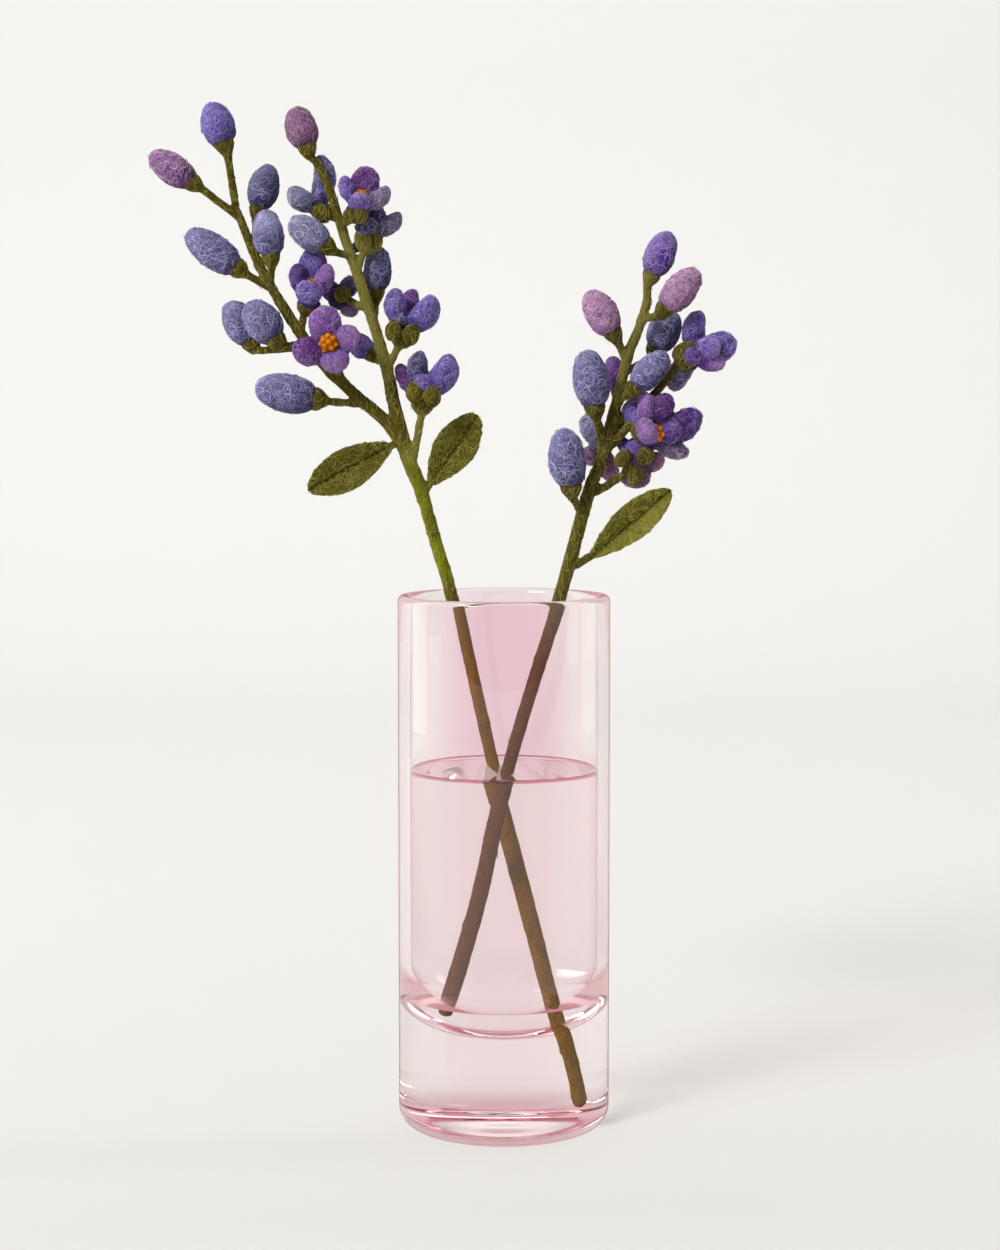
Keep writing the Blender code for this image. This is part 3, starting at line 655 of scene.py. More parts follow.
def smooth_path(points: Sequence[Vector], samples: int) -> list[Vector]:
    """Draw a smooth curve through points.

    Args:
        points: the points that the curve passes through.
        samples: how many points to put in each span.

    Returns:
        Points along the curve.
    """
    ends = [points[0] * 2 - points[1], *points, points[-1] * 2 - points[-2]]
    path = []
    for before, start, end, after in zip(ends, ends[1:], ends[2:], ends[3:]):
        for step in range(samples):
            t = step / samples
            path.append(0.5 * (2 * start + (end - before) * t
                               + (2 * before - 5 * start + 4 * end - after) * t ** 2
                               + (3 * start - before - 3 * end + after) * t ** 3))
    path.append(points[-1])
    return path


def steps_between(values: Sequence[float], share: float) -> float:
    """Value at a share of the way along evenly spaced values."""
    along = share * (len(values) - 1)
    low = min(int(along), len(values) - 2)
    return values[low] + (values[low + 1] - values[low]) * (along - low)


class Draft:
    """Points and faces of closed bodies that are drawn into one mesh."""

    def __init__(self) -> None:
        self.points: list[Vector] = []
        self.faces: list[tuple[int, ...]] = []

    def loft(self, start: Vector, rings: Sequence[Sequence[Vector]], end: Vector) -> None:
        """Add a closed body that runs from a point through rings of points to a last point."""
        sides = len(rings[0])
        first = len(self.points)
        last = first + 1 + sides * len(rings)
        self.points.append(start)
        for ring in rings:
            self.points.extend(ring)
        self.points.append(end)
        for here in range(sides):
            there = (here + 1) % sides
            self.faces.append((first, first + 1 + there, first + 1 + here))
            for row in range(len(rings) - 1):
                low = first + 1 + row * sides
                high = low + sides
                self.faces.append((low + here, low + there, high + there, high + here))
            self.faces.append((last, last - sides + here, last - sides + there))

    def tube(self, path: Sequence[Vector], radii: Sequence[float], sides: int) -> None:
        """Add a closed tube whose first and last points are its ends.

        Args:
            path: points along the tube's middle, in metres.
            radii: a radius in mm for each point between the two ends.
            sides: how many sides the tube has.
        """
        turns = [2 * math.pi * side / sides for side in range(sides)]
        across = (path[1] - path[0]).orthogonal()
        rings = []
        for index, radius in enumerate(radii, 1):
            along = (path[index + 1] - path[index - 1]).normalized()
            across = (across - along * across.dot(along)).normalized()
            up = along.cross(across)
            rings.append([path[index] + (across * math.cos(turn) + up * math.sin(turn)) * radius * MM
                          for turn in turns])
        self.loft(path[0], rings, path[-1])

    def stem(self, points: Sequence[Vector], radii: Sequence[float], samples: int = 5,
             sides: int = 14) -> None:
        """Add a round-ended felt stem through points, with its radius running evenly through radii."""
        path = smooth_path(points, samples)
        sizes = [steps_between(radii, index / (len(path) - 1)) for index in range(len(path))]
        start = (path[0] - path[1]).normalized() * sizes[0] * MM
        end = (path[-1] - path[-2]).normalized() * sizes[-1] * MM
        path = [path[0] + start, path[0] + start * STEM_SHOULDER, *path,
                path[-1] + end * STEM_SHOULDER, path[-1] + end]
        self.tube(path, [sizes[0] * STEM_NARROWED, *sizes, sizes[-1] * STEM_NARROWED], sides)

    def mesh(self, name: str) -> bpy.types.Mesh:
        """Make the mesh."""
        mesh = bpy.data.meshes.new(name)
        mesh.from_pydata(self.points, [], self.faces)
        return mesh

    def merged(self, voxel: float, smoothing: int) -> bpy.types.Mesh:
        """Needle all the bodies into one closed surface.

        Args:
            voxel: grid size in mm.
            smoothing: how many times the surface is smoothed.

        Returns:
            The mesh of the surface.
        """
        holder = add_object("merging", self.mesh("merging"))
        remesh = holder.modifiers.new("remesh", "REMESH")
        remesh.mode = "VOXEL"
        remesh.voxel_size = voxel * MM
        smooth = holder.modifiers.new("smooth", "SMOOTH")
        smooth.iterations = smoothing
        bpy.context.view_layer.update()
        mesh = bpy.data.meshes.new_from_object(holder.evaluated_get(bpy.context.evaluated_depsgraph_get()))
        bpy.data.objects.remove(holder, do_unlink=True)
        return mesh


@dataclass(frozen=True)
class Pad:
    """A plump felt form: an ellipsoid that tapers along its axis and is hollowed towards its face.

    The size is its width, thickness and length in mm. The centre is in metres.
    """
    centre: Vector
    axis: Vector
    face: Vector
    size: tuple[float, float, float]
    taper: float = 0.0
    hollow: float = 0.0
    fullness: float = 1.0

    def frame(self) -> Matrix:
        """Matrix whose Z runs along the axis and whose Y looks towards the face."""
        along = self.axis.normalized()
        across = self.face.cross(along)
        if across.length < 1e-9:
            across = along.orthogonal()
        across.normalize()
        matrix = Matrix((across, along.cross(across), along)).transposed().to_4x4()
        matrix.translation = self.centre
        return matrix

    def draw(self, draft: Draft, sides: int = 20, rings: int = 14) -> None:
        """Draw the form into a draft."""
        frame_matrix = self.frame()
        half = [value / 2 for value in self.size]

        def corner(around: float, down: float) -> Vector:
            """Point at two angles on the form."""
            z = -math.cos(down)
            reach = math.sin(down) ** self.fullness * (1 + self.taper * z)
            wide = reach * math.cos(around) * half[0]
            thick = reach * math.sin(around) * half[1]
            long = z * half[2]
            lift = self.hollow * (wide ** 2 + long ** 2)
            return frame_matrix @ (Vector((wide, thick + lift, long)) * MM)

        loops = [[corner(2 * math.pi * side / sides, math.pi * ring / rings) for side in range(sides)]
                 for ring in range(1, rings)]
        draft.loft(corner(0, 0), loops, corner(0, math.pi))

    def measure(self, points: np.ndarray) -> tuple[np.ndarray, np.ndarray, np.ndarray]:
        """Tell how points lie to the form.

        Args:
            points: points in metres, one in each row.

        Returns:
            For each point its squared distance (one on the surface), its share of the way along the
            axis (from -1 to 1) and its side (above zero towards the face).
        """
        inverse = np.array(self.frame().inverted())
        local = (points @ inverse[:3, :3].T + inverse[:3, 3]) / MM
        half = [value / 2 for value in self.size]
        along = local[:, 2] / half[2]
        narrow = np.maximum(1 + self.taper * np.clip(along, -1, 1), 0.3)
        thick = local[:, 1] - self.hollow * (local[:, 0] ** 2 + local[:, 2] ** 2)
        side = thick / (half[1] * narrow)
        return (local[:, 0] / (half[0] * narrow)) ** 2 + side ** 2 + along ** 2, along, side


# Felt pieces

class FeltBody:
    """The surface of one felt piece, and the loose fibres that lie on it."""

    def __init__(self, mesh: bpy.types.Mesh, wools: Sequence[Wool]) -> None:
        """Read a closed mesh.

        Args:
            mesh: the mesh, which is removed.
            wools: the wools that the piece is felted from, in the order of its material slots.
        """
        count = len(mesh.vertices)
        places = np.empty(3 * count)
        mesh.vertices.foreach_get("co", places)
        normals = np.empty(3 * count)
        mesh.vertices.foreach_get("normal", normals)
        self.points = places.reshape(-1, 3)
        self.normals = normals.reshape(-1, 3)
        self.faces = [tuple(polygon.vertices) for polygon in mesh.polygons]
        self.wools = list(wools)
        self.slots = [0] * len(self.faces)
        self.blend = np.zeros(count)
        self.pale = np.zeros(count)
        self.fibres = Draft()
        self.fibre_slots: list[int] = []
        self.fibre_blend: list[float] = []
        self.fibre_strand: list[float] = []
        bpy.data.meshes.remove(mesh)

    def roughen(self, lumps: Iterable[tuple[float, float]]) -> None:
        """Push the surface in and out.

        Args:
            lumps: the depth and the spacing of each layer of lumps, in mm.
        """
        for depth, spacing in lumps:
            for index, point in enumerate(self.points / (spacing * MM)):
                self.points[index] += self.normals[index] * (noise.noise(Vector(point)) * depth * MM)

    def tree(self) -> BVHTree:
        """Make a search tree of the surface."""
        return BVHTree.FromPolygons([tuple(point) for point in self.points], self.faces)

    def add_fibres(self, rng: random.Random, count: int, length: float, radius: float = 0.17,
                   fuzz: float = 0.25, lie: Sequence[float] = (0, 0, 0), steps: int = 8) -> None:
        """Lay loose fibres over the surface. They take the painted shade and highlight of the surface under
        them, and fewer lie where the deep colour is on top, on deeper wool and in painted shade.

        Args:
            rng: the source of chance.
            count: how many fibres.
            length: the mean length in mm.
            radius: a fibre's radius in mm, coarser than real wool so that it shows.
            fuzz: the share of fibres whose end stands off the surface.
            lie: the way that most fibres lie, and how strongly.
            steps: spans in a fibre.
        """
        tree = self.tree()
        grain = Vector(lie)
        stiffness = 1 + grain.length
        firsts = [face[0] for face in self.faces]
        across = self.points[firsts] - self.points[[face[2] for face in self.faces]]
        deep = np.minimum(self.blend[firsts], 0)
        weights = np.linalg.norm(across, axis=1) ** 2 * (1 + (1 - FIBRES_ON_DEEP) * deep)
        starts = rng.choices(range(len(self.faces)), weights=weights.tolist(), k=int(count * FIBRE_SHARE))
        for face in starts:
            place = Vector(self.points[list(self.faces[face])].mean(axis=0))
            place, normal, below, _ = tree.find_nearest(place)
            heading = Vector([rng.gauss(0, 1) for _ in range(3)]) + grain * rng.choice((-1, 1))
            heading = (heading - normal * heading.dot(normal)).normalized()
            bend = rng.gauss(0, FIBRE_BEND / stiffness)
            stride = length * rng.uniform(*FIBRE_LENGTHS) / steps * MM
            loose = rng.uniform(*FIBRE_RISES) if rng.random() < fuzz else FIBRE_FLAT
            path = []
            tones = []
            for step in range(steps + 1):
                lift = FIBRE_LIFT + loose * max(0.0, step / steps - FIBRE_LYING) ** 1.5 * 2.4
                path.append(place + normal * lift * MM)
                tones.append(self.blend[self.faces[below][0]])
                place, normal, below, _ = tree.find_nearest(place + heading * stride)
                bend += rng.gauss(0, FIBRE_WAVER / stiffness)
                heading = heading - normal * heading.dot(normal) + normal.cross(heading) * bend
                heading.normalize()
            thick = radius * rng.uniform(*FIBRE_WIDTHS)
            radii = [thick * FIBRE_TIP, *[thick] * (steps - 3), thick * FIBRE_TIP]
            self.fibres.tube(path, radii, FIBRE_SIDES)
            self.fibre_slots.extend([self.slots[face]] * FIBRE_SIDES * (len(radii) + 1))
            self.fibre_blend.extend([tones[0], *np.repeat(tones[1:-1], FIBRE_SIDES), tones[-1]])
            self.fibre_strand.extend([rng.uniform(*FIBRE_PALENESS)] * (FIBRE_SIDES * len(radii) + 2))

    def finish(self, name: str, node: str, slot: str) -> None:
        """Make the object of the piece, at the origin.

        Args:
            name: the object's name.
            node: the CAD node that it stands for.
            slot: not used.
        """
        count = len(self.points)
        mesh = bpy.data.meshes.new(name)
        faces = self.faces + [tuple(index + count for index in face) for face in self.fibres.faces]
        mesh.from_pydata([tuple(point) for point in self.points] + self.fibres.points, [], faces)
        mesh.polygons.foreach_set("material_index", self.slots + self.fibre_slots)
        for mark, values in (("blend", [*self.blend, *self.fibre_blend]),
                             ("strand", [*self.pale, *self.fibre_strand])):
            mesh.attributes.new(mark, "FLOAT", "POINT").data.foreach_set("value", values)
        mesh.shade_smooth()
        for wool in self.wools:
            mesh.materials.append(wool.value.material())
        stand_for(add_object(name, mesh), node)


@dataclass(frozen=True)
class Bud:
    """One closed bud: where its twig leaves the stalk, its seat in the calyx, its tip, width and offset."""
    number: int
    joint: Place
    seat: Place
    tip: Place
    width: float
    out: float
    wool: Wool = Wool.VIOLET
    slot: str = "violet"
    pale_tip: float = 0.0

    def pad(self, sprig: "Sprig") -> Pad:
        """The bud's egg-shaped form."""
        seat = sprig.point(self.seat, self.out)
        tip = sprig.point(self.tip, self.out)
        return Pad((seat + tip) / 2, tip - seat, Vector((0, -1, 0)),
                   (self.width, self.width, (tip - seat).length / MM), BUD_TAPER, fullness=BUD_FULLNESS)

    def draw_calyx(self, sprig: "Sprig", draft: Draft) -> None:
        """Draw the twig, which widens into a cup with a soft, uneven rim."""
        joint = sprig.point(self.joint)
        seat = sprig.point(self.seat, self.out)
        axis = (sprig.point(self.tip, self.out) - seat).normalized()
        below = seat - axis * TWIG_END * MM
        draft.stem([joint, below, seat], [TWIG_RADIUS, TWIG_RADIUS, TWIG_RADIUS * 1.1], samples=4, sides=12)
        across = axis.orthogonal().normalized()
        up = axis.cross(across)
        wide = CUP_SHARE * self.width + CUP_WALL
        rings = []
        for along, reach in CUP_RINGS:
            ring = []
            for side in range(CUP_SIDES):
                turn = 2 * math.pi * side / CUP_SIDES
                tooth = max(0.0, along) * 0.5 * math.cos(CUP_TEETH * turn + self.number)
                out = across * math.cos(turn) + up * math.sin(turn)
                ring.append(seat + (axis * (along + tooth) + out * wide * reach) * MM)
            rings.append(ring)
        draft.loft(seat - axis * CUP_DEPTH * MM, rings, seat + axis * CUP_FLOOR * MM)

    def build(self, sprig: "Sprig", rng: random.Random) -> FeltBody:
        """Build the bud as its own piece.

        Args:
            sprig: the sprig that it is on.
            rng: the source of chance.

        Returns:
            The bud's body, for seating the calyx against.
        """
        draft = Draft()
        pad = self.pad(sprig)
        pad.draw(draft, 36, 26)
        body = FeltBody(draft.mesh("bud"), [self.wool])
        _, along, _ = pad.measure(body.points)
        # The second wool lies along the underside. Painted shade darkens the bud low on the right and where
        # it sits in the calyx, and a painted highlight pales it on the upper left
        low = np.clip((-along - 0.55) / 0.45, 0, 1) * 0.8
        painted_shade = np.clip(body.normals @ DUSK - 0.05, 0, 1)
        deep = np.maximum(low, painted_shade)
        under = np.clip(-body.normals[:, 2], 0, 1) * 0.6
        body.blend = np.where(deep > 0.05, -deep, under)
        painted_light = np.clip(body.normals @ DAWN - 0.3, 0, 1) * 0.35
        body.pale = np.maximum(painted_light, np.clip(along + 0.3, 0, 1) * self.pale_tip)
        # The lumps go straight out from the bud's middle, so that its poles stay whole
        body.normals = body.points - np.array(pad.centre)
        body.normals /= np.linalg.norm(body.normals, axis=1)[:, None]
        body.roughen(BUD_LUMPS)
        area = math.pi * self.width * pad.size[2]
        body.add_fibres(rng, int(area * BUD_FIBRES), length=6.5)
        body.finish(f"{sprig.name}_wool_bud_{self.number}", f"{sprig.name}_bud_{self.number}",
                    "felt_" + self.slot)
        return body


@dataclass(frozen=True)
class Petal:
    """One petal: its tip on the picture plane, its depth from the heart, its width and its wool."""
    x: float
    z: float
    out: float
    width: float
    wool: Wool


@dataclass(frozen=True)
class Flower:
    """One open flower, with its calyx, its petals and its orange centre. Radii and lengths are in mm.

    The twig runs from the joint by way of "via" to the seat. The cup is its radius, and each lobe is a
    sepal's place, depth and radius. The centre is a radius and stands out from the heart, or else "ball"
    gives the place and depth of its middle.
    """
    number: int
    joint: Place
    seat: Place
    heart: Place
    out: float
    petals: tuple[Petal, ...]
    cup: float = 3.8
    lobes: tuple[tuple[float, float, float, float], ...] = ()
    via: Place | None = None
    centre: float = 2.6
    stand: float = 1.4
    ball: tuple[float, float, float] | None = None
    slot: str = "violet"

    def place(self, sprig: "Sprig") -> tuple[Vector, Vector, list[Vector]]:
        """Heart, facing direction and petal tips."""
        heart = sprig.point(self.heart, self.out)
        tips = [sprig.point((petal.x, petal.z), self.out + petal.out) for petal in self.petals]
        facing = sum(((tip - heart).normalized() for tip in tips), Vector((0, 0, 0)))
        return heart, facing.normalized(), tips

    def petal_pads(self, sprig: "Sprig") -> list[Pad]:
        """The forms of the petals."""
        heart, facing, tips = self.place(sprig)
        pads = []
        for petal, tip in zip(self.petals, tips):
            root = heart - (tip - heart).normalized() * PETAL_ROOT * MM
            pads.append(Pad((root + tip) / 2, tip - root, facing,
                            (petal.width, PETAL_PLUMPNESS * petal.width, (tip - root).length / MM),
                            PETAL_TAPER, PETAL_HOLLOW))
        return pads

    def draw_calyx(self, sprig: "Sprig", draft: Draft) -> None:
        """Draw the twig, the calyx cup and the sepal lobes."""
        heart, facing, _ = self.place(sprig)
        seat = sprig.point(self.seat, self.out)
        points = [sprig.point(self.joint), seat]
        if self.via:
            points.insert(1, sprig.point(self.via, self.out / 2))
        draft.stem(points, [TWIG_RADIUS, TWIG_RADIUS], samples=6, sides=12)
        cup = 2 * self.cup
        Pad((seat + heart) / 2, facing, SIDEWAYS, (cup, cup, cup * 1.1)).draw(draft)
        for x, z, out, radius in self.lobes:
            lobe = sprig.point((x, z), self.out + out - LOBE_FORWARD)
            Pad(lobe, heart - seat + facing * MM, lobe - heart,
                (radius * 2, LOBE_THICKNESS, radius * 2.4)).draw(draft)

    def build(self, sprig: "Sprig", rng: random.Random) -> FeltBody:
        """Build the petals and the centre, each as its own piece.

        Args:
            sprig: the sprig that it is on.
            rng: the source of chance.

        Returns:
            The petals' body, for seating the calyx against.
        """
        heart, facing, _ = self.place(sprig)
        pads = self.petal_pads(sprig)
        draft = Draft()
        Pad(heart - facing * HEART_SEAT * MM, facing, SIDEWAYS, HEART_SIZE).draw(draft)
        for pad in pads:
            pad.draw(draft)
        wools = list(dict.fromkeys(petal.wool for petal in self.petals))
        body = FeltBody(draft.merged(VOXEL, 1), wools)
        measures = [pad.measure(body.points) for pad in pads]
        reaches = np.array([near for near, _, _ in measures])
        nearest = np.argmin(reaches, axis=0)
        # One in the crease between two petals, where painted shade darkens the felt, and zero off it
        crease_shade = np.clip((1.5 - np.sort(reaches, axis=0)[1]) / 0.5, 0, 1)
        along = np.choose(nearest, [share for _, share, _ in measures])
        edge = np.choose(nearest, [1 - np.abs(np.clip(side, -1, 1)) for _, _, side in measures])
        # Painted shade darkens the petals round the heart, and a painted highlight pales their edges towards
        # the tip
        body.blend = np.where(along < 0.3, -np.clip((0.3 - along) / 0.9, 0, 1) * 0.85,
                              np.clip(along, 0, 1) * np.clip(edge, 0, 1) ** 2 * 0.9)
        # Painted shade in the creases between petals
        body.blend = np.minimum(body.blend, 0.9 - 1.8 * crease_shade)
        body.slots = [wools.index(self.petals[nearest[face[0]]].wool) for face in body.faces]
        body.roughen(PETAL_LUMPS)
        area = sum(math.pi * pad.size[0] * pad.size[2] * 0.85 for pad in pads)
        body.add_fibres(rng, int(area * PETAL_FIBRES), length=5.2, radius=0.145)
        body.finish(f"{sprig.name}_wool_flower_{self.number}", f"{sprig.name}_flower_{self.number}_petals",
                    "felt_" + self.slot)
        self.build_centre(sprig, rng, heart, facing)
        return body

    def build_centre(self, sprig: "Sprig", rng: random.Random, heart: Vector, facing: Vector) -> None:
        """Build the knobbly orange centre: a ball set with small knots of wool."""
        middle = heart + facing * (self.centre + self.stand) * MM
        if self.ball:
            x, z, out = self.ball
            middle = sprig.point((x, z), self.out + out)
        draft = Draft()
        core = CORE_SHARE * self.centre
        Pad(middle, facing, SIDEWAYS, (core, core, core)).draw(draft, 16, 10)
        for index in range(KNOTS):
            height = 1 - 2 * (index + 0.5) / KNOTS
            turn = index * math.pi * (3 - math.sqrt(5)) + self.number
            reach = math.sqrt(1 - height ** 2)
            out = Vector((reach * math.cos(turn), reach * math.sin(turn), height))
            knot = self.centre * rng.uniform(*KNOT_SHARES)
            Pad(middle + out * (self.centre - knot / 2) * MM, out, Vector((1, 0, 0.3)),
                (knot, knot, knot)).draw(draft, 8, 6)
        body = FeltBody(draft.merged(CENTRE_VOXEL, 1), [Wool.ORANGE])
        reach = np.linalg.norm(body.points - np.array(middle), axis=1) / (self.centre * MM)
        # Painted shade darkens the hollows between the knots, and a painted highlight pales the knots' tops
        body.blend = np.clip((reach - 0.93) * 9, -1, 1)
        body.add_fibres(rng, CENTRE_FIBRES, length=2.2, radius=0.08)
        body.finish(f"{sprig.name}_wool_centre_{self.number}", f"{sprig.name}_flower_{self.number}_centre",
                    "felt_orange")


@dataclass(frozen=True)
class Leaf:
    """One leaf: stem joint, blade base and tip, half width, and offset at base and at tip, in mm.

    The blade is folded up along its midrib, arched back between its ends, widest past its middle where
    the skew is over one, and blunt at its ends. A painted highlight pales its lit half where the lit-side
    share isn't zero.
    """
    number: int
    joint: Place
    base: Place
    tip: Place
    half_width: float
    out: float
    tip_out: float
    thickness: float = 2.0
    fold: float = 0.38
    arch: float = 1.6
    fullness: float = 0.75
    bluntness: float = 0.16
    skew: float = 1.15
    painted_light_side: float = 0.0
    rows: int = 70
    sides: int = 44
    flatness: float = 0.55

    def ends(self, sprig: "Sprig") -> tuple[Vector, Vector]:
        """Where the blade starts and ends."""
        return sprig.point(self.base, self.out), sprig.point(self.tip, self.tip_out)

    def draw_petiole(self, sprig: "Sprig", draft: Draft) -> None:
        """Draw the short stalk that holds the blade."""
        base, tip = self.ends(sprig)
        draft.stem([sprig.point(self.joint), base + (tip - base).normalized() * 1.5 * MM],
                   [TWIG_RADIUS, TWIG_RADIUS], samples=4, sides=12)

    def build(self, sprig: "Sprig", rng: random.Random) -> None:
        """Build the blade: folded along its midrib, arched, and rounded at its edge."""
        base, tip = self.ends(sprig)
        axis = tip - base
        across = axis.cross(Vector((0, 1, 0))).normalized()
        normal = across.cross(axis).normalized()
        if normal.y > 0:
            normal.negate()
        # The rings have to wind the same way round the blade whichever way its normal looks
        turn_sign = 1 if across.cross(normal).dot(axis) > 0 else -1
        rings = []
        for row in range(1, self.rows):
            # The blade swells from a little over nothing, and its last rows close round its ends
            t = row / self.rows
            swell = math.sin(math.pi * (0.03 + 0.94 * t ** self.skew)) ** self.fullness
            reach = max(swell, self.bluntness) * self.half_width
            end = min(1.0, math.sqrt(min(t, 1 - t) * 30))
            ring = []
            for side in range(self.sides):
                turn = turn_sign * 2 * math.pi * side / self.sides
                s = math.cos(turn)
                rounding = math.copysign(abs(math.sin(turn)) ** self.flatness, math.sin(turn))
                bulge = rounding * self.thickness / 2 * end
                lift = self.fold * abs(s) * reach - math.sin(math.pi * t) * self.arch
                ring.append(base + axis * t + (across * s * reach * end + normal * (lift + bulge)) * MM)
            rings.append(ring)
        draft = Draft()
        draft.loft(base, rings, tip)
        body = FeltBody(draft.mesh("leaf"), [Wool.LEAF])
        offset = (body.points - np.array(base)) @ np.array(across) / (self.half_width * MM)
        # Painted shade darkens the blade along the fold of its midrib, and a painted highlight pales it
        # towards the edges and over its lit half
        aside = np.abs(offset)
        body.blend = np.where(aside < 0.12, -0.8 * (1 - aside / 0.12), np.clip((aside - 0.5) * 2, 0, 1))
        body.pale = np.clip(offset * self.painted_light_side, 0, 0.5)
        body.roughen(LEAF_LUMPS)
        body.add_fibres(rng, LEAF_FIBRES, length=4.8, radius=0.15)
        body.finish(f"{sprig.name}_wool_leaf_{self.number}", f"{sprig.name}_leaf_{self.number}", "felt_leaf")


@dataclass(frozen=True)
class Sprig:
    """One sprig, with its depth at the rim and how much that grows with each millimetre of height.

    The wet stem's points are in space, and the stem's and the stalks' on the picture plane. "bright" is
    how much bright wool lies over the rim. Along the pale stalks lies a paler colour: partly lighter wool
    and partly a painted highlight.
    """
    name: str
    rim_depth: float
    lean: float
    wet_stem: tuple[tuple[float, float, float], ...]
    stem: tuple[Place, ...]
    stalks: tuple[tuple[Place, ...], ...]
    buds: tuple[Bud, ...]
    flowers: tuple[Flower, ...]
    leaves: tuple[Leaf, ...]
    wool: Wool = Wool.OLIVE
    bright: float = 0.0
    pale_and_highlit_stalks: tuple[tuple[Place, ...], ...] = ()
    radii: tuple[float, ...] = (2.7, 2.3, 2.3, 2.3, 2.3, 2.3, 2.3, 2.7, 2.7)

    def point(self, place: Place, out: float = 0.0) -> Vector:
        """Point in space for a picture-plane place on this sprig."""
        depth = self.rim_depth + self.lean * (place[1] - RIM_HEIGHT) + out
        return VIEW.sight(place[0], place[1], depth)

    def build(self, seed: int) -> None:
        """Build the buds, flowers and leaves, and then the stem that holds them.

        Args:
            seed: the seed of chance for the fibres.
        """
        rng = random.Random(seed)
        blossoms = [bud.build(self, rng) for bud in self.buds]
        blossoms += [flower.build(self, rng) for flower in self.flowers]
        for leaf in self.leaves:
            leaf.build(self, rng)
        self.build_stem(rng, blossoms)

    def build_stem(self, rng: random.Random, blossoms: Sequence[FeltBody]) -> None:
        """Build the stem, stalks, twigs and calyxes as one felted piece.

        Args:
            rng: the source of chance.
            blossoms: the buds and petals that sit in the calyxes.
        """
        draft = Draft()
        points = [Vector(place) * MM for place in self.wet_stem] + [self.point(place) for place in self.stem]
        draft.stem(points, self.radii, samples=8, sides=18)
        for stalk in self.stalks:
            draft.stem([self.point(place) for place in stalk], STALK_RADII, sides=16)
        for part in (*self.buds, *self.flowers):
            part.draw_calyx(self, draft)
        for leaf in self.leaves:
            leaf.draw_petiole(self, draft)
        body = FeltBody(draft.merged(VOXEL, 2), [self.wool])
        body.roughen(STEM_LUMPS)
        self.seat_blossoms(body, blossoms)
        dry = np.interp(body.points[:, 2] / MM, STEM_HEIGHTS, STEM_WOOLS)
        body.blend = np.where(dry > 0, dry * self.bright, dry)
        # Partly lighter wool and partly a painted highlight along the pale stalks
        for path in self.pale_and_highlit_stalks:
            line = smooth_path([self.point(place) for place in path], 8)
            reach = np.min([np.linalg.norm(body.points - np.array(point), axis=1) for point in line], axis=0)
            body.pale = np.maximum(body.pale, np.clip(2.4 - reach / (2.2 * MM), 0, 1) * 0.38)
        body.add_fibres(rng, FORKED_STEM_FIBRES if self.stalks else STEM_FIBRES, length=6.0, radius=0.15,
                        fuzz=0.2, lie=(0, 0, 2.2), steps=7)
        body.finish(f"{self.name}_wool_stem", f"{self.name}_stem", "felt_olive")

    @staticmethod
    def seat_blossoms(body: FeltBody, blossoms: Sequence[FeltBody]) -> None:
        """Draw in the calyxes where they lie inside the buds and petals, so that these show whole."""
        for blossom in blossoms:
            tree = blossom.tree()
            low = blossom.points.min(axis=0)
            high = blossom.points.max(axis=0)
            inside = np.all((body.points > low) & (body.points < high), axis=1)
            for index in np.nonzero(inside)[0]:
                place = Vector(body.points[index])
                nearest, normal, _, _ = tree.find_nearest(place)
                if (place - nearest).dot(normal) < 0:
                    body.points[index] = nearest - normal * SEAT_DEPTH * MM


# Glass and water

def arc(centre: Place, radius: float, start: float, end: float, steps: int) -> list[Place]:
    """Points of a circular arc in the profile plane, from one angle to another in degrees."""
    angles = [math.radians(start + (end - start) * step / steps) for step in range(steps + 1)]
    return [(centre[0] + radius * math.cos(angle), centre[1] + radius * math.sin(angle)) for angle in angles]


def turned(name: str, profile: Sequence[Place], segments: int) -> bpy.types.Mesh:
    """Turn a closed body round the Z axis.

    Args:
        name: the mesh's name.
        profile: (radius, height) in mm, from one point on the axis to another.
        segments: steps in a full turn.

    Returns:
        The mesh.
    """
    draft = Draft()
    turns = [2 * math.pi * segment / segments for segment in range(segments)]
    rings = [[Vector((radius * math.cos(turn), radius * math.sin(turn), height)) * MM for turn in turns]
             for radius, height in profile[1:-1]]
    draft.loft(Vector((0, 0, profile[0][1])) * MM, rings, Vector((0, 0, profile[-1][1])) * MM)
    mesh = draft.mesh(name)
    bm = bmesh.new()
    bm.from_mesh(mesh)
    bmesh.ops.recalc_face_normals(bm, faces=bm.faces)
    bm.to_mesh(mesh)
    bm.free()
    mesh.shade_smooth()
    mesh.set_sharp_from_angle(angle=math.radians(30))
    return mesh


